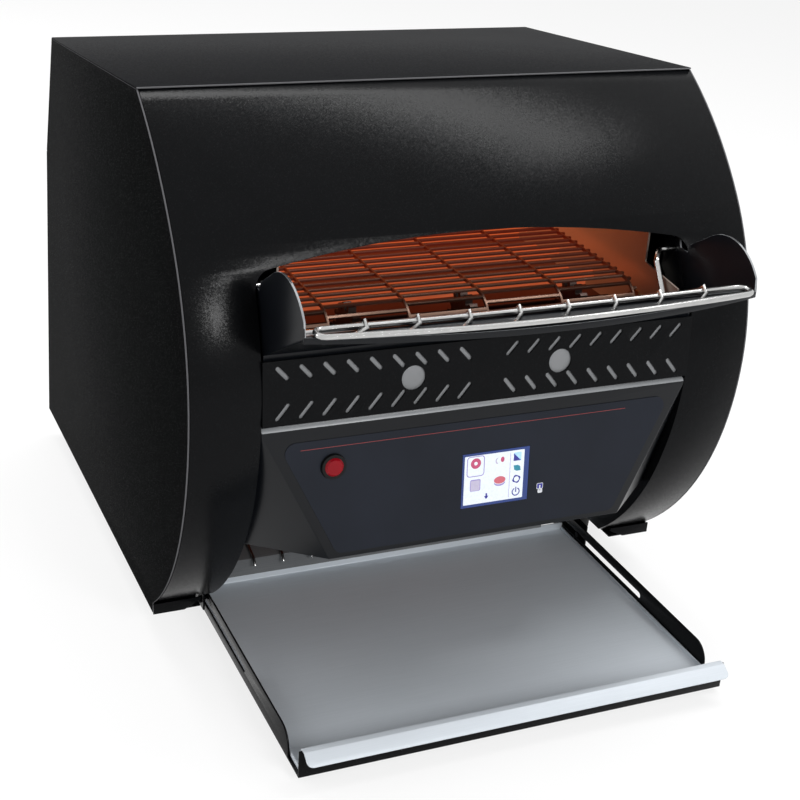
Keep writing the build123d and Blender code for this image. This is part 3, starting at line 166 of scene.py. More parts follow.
def addStudio(values):
    bpy.ops.mesh.primitive_plane_add(size=values["floorSize"])
    floor = bpy.context.object
    floor.name = "floor"
    material = bpy.data.materials.new("paleFloor")
    material.use_nodes = True
    tree = material.node_tree
    tree.nodes.clear()
    out = tree.nodes.new("ShaderNodeOutputMaterial")
    white = tree.nodes.new("ShaderNodeEmission")
    matte = tree.nodes.new("ShaderNodeBsdfDiffuse")
    matte.inputs["Color"].default_value = (*values["floorColour"], 1)
    white.inputs["Strength"].default_value = 1.0
    withShadow = tree.nodes.new("ShaderNodeMixShader")
    withShadow.inputs["Fac"].default_value = values["shadow"]
    tree.links.new(white.outputs[0], withShadow.inputs[1])
    tree.links.new(matte.outputs[0], withShadow.inputs[2])
    path = tree.nodes.new("ShaderNodeLightPath")
    seen = tree.nodes.new("ShaderNodeMath")
    seen.operation = "MAXIMUM"
    tree.links.new(path.outputs["Is Camera Ray"], seen.inputs[0])
    tree.links.new(path.outputs["Is Glossy Ray"], seen.inputs[1])
    pickShader = tree.nodes.new("ShaderNodeMixShader")
    tree.links.new(seen.outputs[0], pickShader.inputs["Fac"])
    tree.links.new(matte.outputs[0], pickShader.inputs[1])
    tree.links.new(withShadow.outputs[0], pickShader.inputs[2])
    tree.links.new(pickShader.outputs[0], out.inputs["Surface"])
    floor.data.materials.append(material)

    world = bpy.data.worlds.new("studioWorld")
    bpy.context.scene.world = world
    world.use_nodes = True
    tree = world.node_tree
    tree.nodes.clear()
    out = tree.nodes.new("ShaderNodeOutputWorld")
    light = tree.nodes.new("ShaderNodeBackground")
    light.inputs["Color"].default_value = (1, 1, 1, 1)
    light.inputs["Strength"].default_value = values["worldLight"]
    shown = tree.nodes.new("ShaderNodeBackground")
    shown.inputs["Color"].default_value = (1, 1, 1, 1)
    shown.inputs["Strength"].default_value = values["background"]
    path = tree.nodes.new("ShaderNodeLightPath")
    first = tree.nodes.new("ShaderNodeMath")
    first.operation = "MAXIMUM"
    tree.links.new(path.outputs["Is Camera Ray"], first.inputs[0])
    tree.links.new(path.outputs["Is Transmission Ray"], first.inputs[1])
    second = tree.nodes.new("ShaderNodeMath")
    second.operation = "MAXIMUM"
    tree.links.new(first.outputs[0], second.inputs[0])
    tree.links.new(path.outputs["Is Glossy Ray"], second.inputs[1])
    mix = tree.nodes.new("ShaderNodeMixShader")
    tree.links.new(second.outputs[0], mix.inputs["Fac"])
    tree.links.new(light.outputs[0], mix.inputs[1])
    tree.links.new(shown.outputs[0], mix.inputs[2])
    tree.links.new(mix.outputs[0], out.inputs["Surface"])

    for name, place, aim, width, height, watts in values["lamps"]:
        bpy.ops.object.light_add(type="AREA", location=place)
        lamp = bpy.context.object
        lamp.name = name
        lamp.data.shape = "RECTANGLE"
        lamp.data.size = width
        lamp.data.size_y = height
        lamp.data.energy = watts
        away = Vector(place) - Vector(aim)
        lamp.rotation_euler = away.to_track_quat("Z", "Y").to_euler()


addStudio(studio)
bpy.context.scene.view_settings.view_transform = "Standard"
print("stage: camera, floor and lamps")


# Shared effects, as node groups that put out colours, masks and heights
def newGroup(name, inputs, outputs):
    group = bpy.data.node_groups.new(name, "ShaderNodeTree")
    for label, kind, value in inputs:
        socket = group.interface.new_socket(label, in_out="INPUT", socket_type=kind)
        socket.default_value = value
    for label, kind in outputs:
        group.interface.new_socket(label, in_out="OUTPUT", socket_type=kind)
    start = group.nodes.new("NodeGroupInput")
    end = group.nodes.new("NodeGroupOutput")
    return group, start, end


def addNoise(tree, vector, scale, detail=2.0, roughness=0.5):
    noise = tree.nodes.new("ShaderNodeTexNoise")
    noise.inputs["Detail"].default_value = detail
    noise.inputs["Roughness"].default_value = roughness
    if vector is not None:
        tree.links.new(vector, noise.inputs["Vector"])
    if isinstance(scale, (int, float)):
        noise.inputs["Scale"].default_value = scale
    else:
        tree.links.new(scale, noise.inputs["Scale"])
    return noise.outputs["Fac"]


def addRange(tree, value, low, high, toLow=0.0, toHigh=1.0):
    node = tree.nodes.new("ShaderNodeMapRange")
    tree.links.new(value, node.inputs["Value"])
    for label, number in (("From Min", low), ("From Max", high), ("To Min", toLow), ("To Max", toHigh)):
        if isinstance(number, (int, float)):
            node.inputs[label].default_value = number
        else:
            tree.links.new(number, node.inputs[label])
    return node.outputs["Result"]


def addMath(tree, kind, a, b):
    node = tree.nodes.new("ShaderNodeMath")
    node.operation = kind
    for place, value in enumerate((a, b)):
        if isinstance(value, (int, float)):
            node.inputs[place].default_value = value
        else:
            tree.links.new(value, node.inputs[place])
    return node.outputs[0]


def addBlend(tree, factor, a, b, kind="MIX"):
    node = tree.nodes.new("ShaderNodeMix")
    node.data_type = "RGBA"
    node.blend_type = kind
    for socket, value in ((node.inputs[0], factor), (node.inputs[6], a), (node.inputs[7], b)):
        if isinstance(value, (int, float)):
            socket.default_value = value
        elif isinstance(value, tuple):
            socket.default_value = (*value, 1)
        else:
            tree.links.new(value, socket)
    return node.outputs[2]


def makeTextureGroup():
    # powder coat and cast skins: fine grain, a few flakes, and slow drift
    group, start, end = newGroup(
        "coatTexture",
        [
            ("Vector", "NodeSocketVector", (0, 0, 0)),
            ("Scale", "NodeSocketFloat", 900.0),
            ("Flakes", "NodeSocketFloat", 0.5),
            ("Tilt", "NodeSocketFloat", 0.0),
        ],
        [
            ("Height", "NodeSocketFloat"),
            ("Flake Mask", "NodeSocketFloat"),
            ("Drift", "NodeSocketFloat"),
            ("Normal", "NodeSocketVector"),
        ],
    )
    fine = addNoise(group, start.outputs["Vector"], start.outputs["Scale"], 2.0, 0.6)
    cells = group.nodes.new("ShaderNodeTexVoronoi")
    group.links.new(start.outputs["Vector"], cells.inputs["Vector"])
    group.links.new(addMath(group, "MULTIPLY", start.outputs["Scale"], 1.3), cells.inputs["Scale"])
    flake = addRange(group, cells.outputs["Distance"], 0.05, 0.3, 1.0, 0.0)
    chance = group.nodes.new("ShaderNodeSeparateColor")
    group.links.new(cells.outputs["Color"], chance.inputs[0])
    chosen = addRange(group, chance.outputs[0], 0.8, 0.95)
    mask = addMath(group, "MULTIPLY", addMath(group, "MULTIPLY", flake, chosen), start.outputs["Flakes"])
    drift = addNoise(group, start.outputs["Vector"], 14.0, 3.0, 0.55)
    # each grain lies at its own small angle
    centred = group.nodes.new("ShaderNodeVectorMath")
    centred.operation = "SUBTRACT"
    group.links.new(cells.outputs["Color"], centred.inputs[0])
    centred.inputs[1].default_value = (0.5, 0.5, 0.5)
    turned = group.nodes.new("ShaderNodeVectorMath")
    turned.operation = "SCALE"
    group.links.new(centred.outputs[0], turned.inputs[0])
    group.links.new(start.outputs["Tilt"], turned.inputs["Scale"])
    summed = group.nodes.new("ShaderNodeVectorMath")
    summed.operation = "ADD"
    group.links.new(group.nodes.new("ShaderNodeNewGeometry").outputs["Normal"], summed.inputs[0])
    group.links.new(turned.outputs[0], summed.inputs[1])
    unit = group.nodes.new("ShaderNodeVectorMath")
    unit.operation = "NORMALIZE"
    group.links.new(summed.outputs[0], unit.inputs[0])
    group.links.new(unit.outputs[0], end.inputs["Normal"])
    group.links.new(fine, end.inputs["Height"])
    group.links.new(mask, end.inputs["Flake Mask"])
    group.links.new(drift, end.inputs["Drift"])
    return group


def makeBrushGroup():
    # drawn or brushed metal: long scratches along the stretched axis, with slow clouds
    group, start, end = newGroup(
        "brushedLines",
        [
            ("Vector", "NodeSocketVector", (0, 0, 0)),
            ("Stretch", "NodeSocketVector", (30.0, 1400.0, 1400.0)),
        ],
        [("Lines", "NodeSocketFloat"), ("Clouds", "NodeSocketFloat")],
    )
    scaled = group.nodes.new("ShaderNodeVectorMath")
    scaled.operation = "MULTIPLY"
    group.links.new(start.outputs["Vector"], scaled.inputs[0])
    group.links.new(start.outputs["Stretch"], scaled.inputs[1])
    lines = addNoise(group, scaled.outputs[0], 1.0, 4.0, 0.6)
    clouds = addNoise(group, start.outputs["Vector"], 9.0, 2.0, 0.5)
    group.links.new(lines, end.inputs["Lines"])
    group.links.new(clouds, end.inputs["Clouds"])
    return group


coatTexture = makeTextureGroup()
brushedLines = makeBrushGroup()


def newMaterial(name, values):
    material = bpy.data.materials.new(name)
    material.use_nodes = True
    tree = material.node_tree
    shader = tree.nodes["Principled BSDF"]
    for label, value in values.items():
        shader.inputs[label].default_value = (*value, 1) if isinstance(value, tuple) else value
    where = tree.nodes.new("ShaderNodeTexCoord").outputs["Object"]
    return material, tree, shader, where


def addBump(tree, shader, height, depth, strength, normal=None):
    bump = tree.nodes.new("ShaderNodeBump")
    if normal is not None:
        tree.links.new(normal, bump.inputs["Normal"])
    bump.inputs["Distance"].default_value = depth
    bump.inputs["Strength"].default_value = strength
    tree.links.new(height, bump.inputs["Height"])
    tree.links.new(bump.outputs["Normal"], shader.inputs["Normal"])


def useCoat(tree, where, scale, flakes, tilt):
    node = tree.nodes.new("ShaderNodeGroup")
    node.node_tree = coatTexture
    node.inputs["Scale"].default_value = scale
    node.inputs["Flakes"].default_value = flakes
    node.inputs["Tilt"].default_value = tilt
    tree.links.new(where, node.inputs["Vector"])
    return node


def useBrush(tree, where, stretch):
    node = tree.nodes.new("ShaderNodeGroup")
    node.node_tree = brushedLines
    node.inputs["Stretch"].default_value = stretch
    tree.links.new(where, node.inputs["Vector"])
    return node


def paintedHighlightMask(tree, axis, low, high):
    # 1 on faces whose normal leans along an axis by a share between low and high, where a painted highlight
    # goes
    parts = tree.nodes.new("ShaderNodeSeparateXYZ")
    tree.links.new(tree.nodes.new("ShaderNodeNewGeometry").outputs["Normal"], parts.inputs[0])
    value = parts.outputs[axis]
    above = addMath(tree, "GREATER_THAN", value, low)
    below = addMath(tree, "LESS_THAN", value, high)
    return addMath(tree, "MULTIPLY", above, below)


roughnessDrift = 0.015


def coatedMaterial(name, dark, light, roughness, scale, flakes, depth, level=0.5, tilt=0.0, paintedHighlight=None):
    # paint, rubber and moulded skins; an optional painted highlight is a paler colour on faces that look a
    # chosen way
    material, tree, shader, where = newMaterial(name, {"Specular IOR Level": level})
    effect = useCoat(tree, where, scale, flakes, tilt)
    drift = effect.outputs["Drift"]
    colour = addBlend(tree, addRange(tree, drift, 0.3, 0.7), dark, light)
    flakesAndHighlight = addBlend(tree, effect.outputs["Flake Mask"], colour, tuple(min(1, c * 6 + 0.05) for c in light))
    if paintedHighlight:
        axis, low, high, highlightColour = paintedHighlight
        # painted highlight: a paler colour on the chosen faces, standing in for light caught on edges
        flakesAndHighlight = addBlend(tree, paintedHighlightMask(tree, axis, low, high), flakesAndHighlight, highlightColour)
    tree.links.new(flakesAndHighlight, shader.inputs["Base Color"])
    uneven = addRange(tree, drift, 0.3, 0.7, roughness - roughnessDrift, roughness + roughnessDrift)
    tree.links.new(uneven, shader.inputs["Roughness"])
    if tilt:
        tree.links.new(effect.outputs["Flake Mask"], shader.inputs["Metallic"])
    addBump(tree, shader, effect.outputs["Height"], depth, 0.5, effect.outputs["Normal"] if tilt else None)
    return material


def metalMaterial(name, dark, light, roughness, stretch, depth=0.00004, metallic=1.0):
    # bare metal with lines along the stretched axis
    material, tree, shader, where = newMaterial(name, {"Metallic": metallic})
    effect = useBrush(tree, where, stretch)
    share = addMath(tree, "ADD", addRange(tree, effect.outputs["Lines"], 0.3, 0.7, 0.0, 0.5),
                    addRange(tree, effect.outputs["Clouds"], 0.3, 0.7, 0.0, 0.5))
    tree.links.new(addBlend(tree, share, dark, light), shader.inputs["Base Color"])
    uneven = addRange(tree, share, 0.1, 0.9, roughness + 0.07, roughness - 0.05)
    tree.links.new(uneven, shader.inputs["Roughness"])
    addBump(tree, shader, effect.outputs["Lines"], depth, 0.35)
    return material


chamberMiddle = (0.0, 0.0, 0.28)


def inwardFaces(tree, where):
    # 1 where a face looks at the middle of the chamber, 0 on the sheet's far side; it keeps painted heater
    # light to the inner faces
    away = tree.nodes.new("ShaderNodeVectorMath")
    away.operation = "SUBTRACT"
    away.inputs[0].default_value = chamberMiddle
    tree.links.new(where, away.inputs[1])
    facing = tree.nodes.new("ShaderNodeVectorMath")
    facing.operation = "DOT_PRODUCT"
    tree.links.new(away.outputs[0], facing.inputs[0])
    tree.links.new(tree.nodes.new("ShaderNodeNewGeometry").outputs["Normal"], facing.inputs[1])
    return addMath(tree, "GREATER_THAN", facing.outputs["Value"], 0.0)


def glowAndPaintedLightMaterial(
    name, base, frontGlow, deepGlow, frontY, deepY, strength, metallic=1.0, roughness=0.4,
    floorZ=0.2, wall=False, cleanBase=None,
):
    # metal given an emission that grows further into the chamber, above a height: the heaters' own glow, and
    # on walls, reflectors and belt painted light for the heaters' light on them; its base colour starts from
    # cleanBase at the front end, if one is given
    material, tree, shader, where = newMaterial(
        name, {"Metallic": metallic, "Roughness": roughness, "Emission Strength": strength}
    )
    parts = tree.nodes.new("ShaderNodeSeparateXYZ")
    tree.links.new(where, parts.inputs[0])
    clouds = addNoise(tree, where, 40.0, 3.0, 0.6)
    reach = addMath(tree, "ADD", parts.outputs["Y"], addRange(tree, clouds, 0.3, 0.7, -0.01, 0.01))
    share = addRange(tree, reach, frontY, deepY)
    glow = addBlend(tree, share, frontGlow, deepGlow)
    above = addRange(tree, parts.outputs["Z"], floorZ, floorZ + 0.05)
    if wall:
        above = addMath(tree, "MULTIPLY", above, inwardFaces(tree, where))
    # the emission: the heaters' own glow, and painted heater light on walls, reflectors and belt
    tree.links.new(addBlend(tree, above, (0.0, 0.0, 0.0), glow), shader.inputs["Emission Color"])
    stained = addBlend(tree, clouds, base, tuple(c * 0.7 for c in base))
    if cleanBase:
        stained = addBlend(tree, share, cleanBase, stained)
    tree.links.new(stained, shader.inputs["Base Color"])
    addBump(tree, shader, clouds, 0.0001, 0.2)
    return material


finishes = {
    "black_powder": coatedMaterial(
        "blackPowder", (0.0022, 0.0024, 0.0028), (0.003, 0.0032, 0.0038), 0.22, 1250.0, 0.7,
        0.00002, 0.07, 0.08,
    ),
    # housing and deck: satin black with a painted highlight, a paler colour on faces that lean upward
    "black_satin": coatedMaterial(
        "blackSatin", (0.0026, 0.0032, 0.0046), (0.0034, 0.0042, 0.0058), 0.3, 1400.0, 0.2, 0.00002, 0.22,
        paintedHighlight=("Z", 0.3, 0.97, (0.24, 0.25, 0.26)),
    ),
    # roof: a lighter lit copy of the black coat, with a painted highlight on faces that look forward
    "black_roof": coatedMaterial(
        "blackRoof", (0.0036, 0.0038, 0.0044), (0.005, 0.0053, 0.0062), 0.5, 900.0, 0.4, 0.00002, 0.009, 0.1,
        ("Y", -1.1, -0.6, (0.12, 0.12, 0.125)),
    ),
    # side panels: a shaded copy of the black coat with less shine, and a painted highlight on the edge faces
    "black_panel": coatedMaterial(
        "blackPanel", (0.002, 0.0021, 0.0023), (0.003, 0.0032, 0.0034), 0.5, 900.0, 0.8, 0.00002, 0.002, 0.1,
        ("X", -0.7, 0.7, (0.09, 0.09, 0.095)),
    ),
    # rear panel: a lit copy of the black coat, lighter than the shroud's
    "black_rear": coatedMaterial(
        "blackRear", (0.0036, 0.0037, 0.004), (0.005, 0.0052, 0.0056), 0.5, 900.0, 0.8, 0.00002, 0.005, 0.1
    ),
    "foot_rubber": coatedMaterial(
        "footRubber", (0.014, 0.014, 0.014), (0.024, 0.024, 0.024), 0.72, 700.0, 0.0, 0.00008, 0.3
    ),
    "plated_steel": metalMaterial(
        "platedSteel", (0.46, 0.46, 0.45), (0.66, 0.65, 0.62), 0.32, (300.0, 300.0, 300.0)
    ),
    # walls, upper reflector and deflector: heater light painted on their inner faces as an orange glow
    "chamber_steel": glowAndPaintedLightMaterial(
        "chamberSteel", (0.45, 0.36, 0.31), (0.02, 0.008, 0.005), (0.55, 0.17, 0.07), -0.17, 0.0, 0.3,
        wall=True,
    ),
    # lower reflector: heater light painted on its inner faces as an orange glow
    "chamber_floor": glowAndPaintedLightMaterial(
        "chamberFloor", (0.1, 0.045, 0.032), (0.03, 0.006, 0.003), (0.3, 0.04, 0.012), -0.08, 0.04, 0.3,
        wall=True,
    ),
    # sprockets and shafts: steel painted dark brown, as painted shade inside the chamber
    "shaded_drive_steel": metalMaterial(
        "shadedDriveSteel", (0.05, 0.036, 0.032), (0.1, 0.07, 0.06), 0.45, (200.0, 200.0, 200.0)
    ),
    "quartz": glowAndPaintedLightMaterial(
        "quartz", (0.8, 0.6, 0.5), (1.0, 0.26, 0.07), (1.0, 0.32, 0.1), -0.1, 0.1, 1.1, 0.0, 0.15
    ),
    "heater_strip": glowAndPaintedLightMaterial(
        "heaterStrip", (0.4, 0.16, 0.08), (0.62, 0.1, 0.03), (0.95, 0.17, 0.05), -0.1, 0.06, 0.5, 0.3, 0.5
    ),
    "ceramic": coatedMaterial("ceramic", (0.72, 0.69, 0.62), (0.82, 0.8, 0.74), 0.45, 400.0, 0.0, 0.00005),
    # belt: heater light painted as an orange glow that grows deeper into the chamber
    "belt_wire": glowAndPaintedLightMaterial(
        "beltWire", (0.1, 0.06, 0.045), (0.01, 0.003, 0.002), (0.1, 0.006, 0.002), -0.15, -0.03, 0.6,
        1.0, 0.38, cleanBase=(0.16, 0.1, 0.075),
    ),
    "bronze": metalMaterial("bronze", (0.42, 0.25, 0.1), (0.6, 0.4, 0.18), 0.35, (250.0, 250.0, 250.0)),
    "motor_paint": coatedMaterial(
        "motorPaint", (0.05, 0.055, 0.06), (0.09, 0.095, 0.1), 0.45, 500.0, 0.1, 0.00008
    ),
    "stainless": metalMaterial(
        "satinStainless", (0.52, 0.56, 0.6), (0.58, 0.62, 0.665), 0.5, (25.0, 1500.0, 1500.0), 0.00001, 0.25
    ),
    # toast chute: steel painted dark, as painted shade
    "stainless_dark": metalMaterial(
        "chuteSteel", (0.12, 0.125, 0.13), (0.17, 0.175, 0.18), 0.55, (25.0, 1500.0, 1500.0), 0.00001, 0.25
    ),
    "chrome_wire": metalMaterial(
        "chromeWire", (0.4, 0.4, 0.4), (0.56, 0.56, 0.55), 0.2, (120.0, 120.0, 120.0), 0.00001
    ),
    "liner_grey": coatedMaterial(
        "linerGrey", (0.15, 0.155, 0.16), (0.2, 0.205, 0.215), 0.5, 500.0, 0.0, 0.00003
    ),
    "overlay_print": coatedMaterial(
        "overlayPrint", (0.0065, 0.0085, 0.014), (0.009, 0.0115, 0.019), 0.36, 2200.0, 0.0, 0.00001, 0.16
    ),
    "screen_glass": coatedMaterial(
        "screenGlass", (0.01, 0.03, 0.16), (0.012, 0.04, 0.2), 0.1, 300.0, 0.0, 0.000002
    ),
    "module_metal": metalMaterial(
        "moduleMetal", (0.5, 0.5, 0.5), (0.7, 0.7, 0.7), 0.4, (200.0, 200.0, 200.0)
    ),
    "bezel_black": coatedMaterial(
        "bezelBlack", (0.004, 0.004, 0.004), (0.006, 0.006, 0.006), 0.3, 900.0, 0.0, 0.00002, 0.15
    ),
    "board_green": coatedMaterial(
        "boardGreen", (0.01, 0.09, 0.04), (0.015, 0.14, 0.06), 0.35, 250.0, 0.3, 0.00004
    ),
    "fan_plastic": coatedMaterial(
        "fanPlastic", (0.013, 0.013, 0.013), (0.022, 0.022, 0.022), 0.42, 800.0, 0.0, 0.00003
    ),
    "terminal_white": coatedMaterial(
        "terminalWhite", (0.7, 0.7, 0.68), (0.8, 0.8, 0.78), 0.4, 600.0, 0.0, 0.00002
    ),
    "lens_red": coatedMaterial(
        "lensRed", (0.16, 0.002, 0.006), (0.26, 0.004, 0.01), 0.15, 300.0, 0.0, 0.00001, 0.15
    ),
}
print("stage: materials,", len(finishes))


def paint(obj, slotName):
    obj.data.materials.clear()
    obj.data.materials.append(finishes[slotName])
    return obj


nodeSlots = {
    "black_powder": "base_pan left_side_panel right_side_panel top_panel front_shroud rear_panel burn_guard "
    "loading_deck control_housing tray_frame tray_hangers tray_screws",
    "foot_rubber": "feet",
    "plated_steel": "cover_screws motor_bracket drive_chain front_shaft rear_shaft "
    "driven_sprocket motor_sprocket",
    "chamber_steel": "left_chamber_wall right_chamber_wall upper_reflector lower_reflector rear_deflector",
    "quartz": "upper_heaters",
    "heater_strip": "lower_heaters",
    "ceramic": "heater_insulators",
    "belt_wire": "conveyor_belt",
    "bronze": "shaft_bushings",
    "motor_paint": "drive_motor",
    "stainless": "toast_chute front_sprockets rear_sprockets tray_insert",
    "chrome_wire": "chute_wires fan_guard loading_rack",
    "liner_grey": "guard_liner",
    "overlay_print": "control_overlay",
    "screen_glass": "display_glass",
    "module_metal": "display_module",
    "bezel_black": "button_bezel supply_gland",
    "board_green": "control_board",
    "fan_plastic": "fan_frame fan_rotor",
    "terminal_white": "terminal_block",
    "lens_red": "power_button",
}
slotOf = {name: slotName for slotName, names in nodeSlots.items() for name in names.split()}
# pieces painted differently from the rest of their slot: lit and shaded copies of the black coat with painted
# highlights, painted shade on the chute, sprockets and shafts, and painted heater light on the lower
# reflector
ownFinish = {
    "left_side_panel": "black_panel", "right_side_panel": "black_panel", "top_panel": "black_roof",
    "rear_panel": "black_rear", "toast_chute": "stainless_dark",
    "control_housing": "black_satin", "loading_deck": "black_satin",
    "lower_reflector": "chamber_floor", "front_sprockets": "shaded_drive_steel", "rear_sprockets": "shaded_drive_steel",
    "front_shaft": "shaded_drive_steel", "rear_shaft": "shaded_drive_steel",
}
for name, obj in nodes.items():
    paint(obj, ownFinish.get(name, slotOf[name]))


# Pressed metal and mouldings with softened edges, each from its node's own shape
softEdges = {
    # node: edge width in mm, segments, smallest angle that is rounded
    "left_side_panel": (0.5, 2, 40),
    "right_side_panel": (0.5, 2, 40),
    "top_panel": (0.6, 2, 20),
    "front_shroud": (0.4, 2, 40),
    "rear_panel": (0.4, 2, 40),
    "burn_guard": (0.3, 1, 40),
    "loading_deck": (0.4, 2, 40),
    "control_housing": (1.4, 3, 30),
    "tray_frame": (0.4, 2, 40),
    "tray_insert": (0.35, 2, 60),
    "base_pan": (0.4, 2, 40),
    "feet": (2.0, 3, 40),
    "conveyor_belt": (0.45, 2, 60),
    "loading_rack": (0.45, 2, 30),
    "chute_wires": (0.4, 2, 40),
}
sameVertex = 0.002  # mm
flatEnough = 0.5  # degrees
smoothBelow = 35  # degrees


def camelName(name):
    first, *rest = name.split("_")
    return first + "".join(word.capitalize() for word in rest)


def softened(node, width, segments, angle):
    pick(nodes[node])
    bpy.ops.object.duplicate()
    obj = bpy.context.view_layer.objects.active
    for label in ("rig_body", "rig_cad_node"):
        if label in obj:
            del obj[label]
    obj.parent = None
    obj.name = camelName(node)
    obj.data.name = camelName(node)
    bpy.ops.object.mode_set(mode="EDIT")
    bpy.ops.mesh.select_all(action="SELECT")
    bpy.ops.mesh.remove_doubles(threshold=sameVertex * mm)
    bpy.ops.mesh.dissolve_limited(angle_limit=radians(flatEnough))
    leaveEdit()
    bevel = obj.modifiers.new("edges", "BEVEL")
    bevel.width = width * mm
    bevel.segments = segments
    bevel.limit_method = "ANGLE"
    bevel.angle_limit = radians(angle)
    bevel.harden_normals = False
    applyAll(obj)
    smoothByAngle(obj, smoothBelow)
    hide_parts(node)
    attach(obj, nodes[node]["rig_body"])
    return obj


softPieces = {node: softened(node, *values) for node, values in softEdges.items()}
print("stage: softened pieces,", len(softPieces))

# The control panel's plane, for all that lies on it
panel = {"topY": -183.2, "topZ": 219.5, "tilt": 5.2, "overlay": 0.5}
lean = radians(panel["tilt"])
panelMatrix = Matrix((
    (1, 0, 0, 0),
    (0, sin(lean), -cos(lean), panel["topY"] * mm),
    (0, cos(lean), sin(lean), panel["topZ"] * mm),
    (0, 0, 0, 1),
))


def plainColour(name, colour, roughness=0.35, glow=0.0):
    # printed ink, with a faint mottle
    material, tree, shader, where = newMaterial(name, {"Roughness": roughness, "Emission Strength": glow})
    mottle = addNoise(tree, where, 600.0, 2.0, 0.5)
    tone = addBlend(tree, addRange(tree, mottle, 0.3, 0.7), colour, tuple(c * 0.9 for c in colour))
    tree.links.new(tone, shader.inputs["Base Color"])
    if glow:
        tree.links.new(tone, shader.inputs["Emission Color"])
    return material


inks = {
    "white": plainColour("screenWhite", (0.45, 0.485, 0.53), 0.3, 0.9),
    "navy": plainColour("screenNavy", (0.02, 0.02, 0.22), 0.25, 0.3),
    "violet": plainColour("screenViolet", (0.22, 0.18, 0.42), 0.25, 0.4),
    "rose": plainColour("screenRose", (0.36, 0.05, 0.12), 0.25, 0.5),
    "brick": plainColour("screenBrick", (0.42, 0.09, 0.12), 0.25, 0.5),
    "stone": plainColour("screenStone", (0.36, 0.33, 0.44), 0.25, 0.5),
    "sky": plainColour("screenSky", (0.3, 0.5, 0.75), 0.25, 0.5),
    "teal": plainColour("screenTeal", (0.01, 0.17, 0.24), 0.25, 0.5),
    "redLine": plainColour("redLine", (0.2, 0.012, 0.014)),
    "paleInk": plainColour("paleInk", (0.6, 0.62, 0.66)),
}


def inkPlate(points, ink, level, thickness=0.06):
    # a closed outline in panel millimetres made into a thin printed plate
    bpy.ops.mesh.primitive_circle_add(vertices=len(points), radius=1, fill_type="NGON")
    obj = bpy.context.object
    for vertex, (x, y) in zip(obj.data.vertices, points):
        vertex.co = Vector((x * mm, y * mm, level * mm))
    selectFaces(obj, lambda centre, normal: True)
    bpy.ops.mesh.extrude_region_move(TRANSFORM_OT_translate={"value": (0, 0, thickness * mm)})
    bpy.ops.mesh.select_all(action="SELECT")
    bpy.ops.mesh.normals_make_consistent(inside=False)
    leaveEdit()
    obj.data.materials.append(inks[ink])
    return obj


def disc(radius, stretch=1.0, steps=32):
    turns = [2 * pi * n / steps for n in range(steps)]
    return [(radius * stretch * cos(turn), radius * sin(turn)) for turn in turns]


def arcBand(outer, inner, start, end, steps=32):
    # part of a flat ring, from one angle to another in degrees
    turns = [radians(start + (end - start) * n / steps) for n in range(steps + 1)]
    outside = [(outer * cos(turn), outer * sin(turn)) for turn in turns]
    return outside + [(inner * cos(turn), inner * sin(turn)) for turn in reversed(turns)]


def cog(outer, inner, corners=16):
    # a wheel whose corners lie in pairs on two radii
    points = []
    for n in range(corners):
        turn = (n + 0.5) * 2 * pi / corners
        reach = outer if (n // 2) % 2 == 0 else inner
        points.append((reach * cos(turn), reach * sin(turn)))
    return points


def roundedRectangle(width, height, radius, steps=6):
    points = []
    for cx, cy, start in ((1, 1, 0), (-1, 1, 90), (-1, -1, 180), (1, -1, 270)):
        for n in range(steps + 1):
            turn = radians(start + 90 * n / steps)
            points.append((
                cx * (width / 2 - radius) + radius * cos(turn),
                cy * (height / 2 - radius) + radius * sin(turn),
            ))
    return points


def moved(points, x, y):
    return [(x + a, y + b) for a, b in points]


inkSink = 0.02  # mm that printed plates reach below the overlay's face

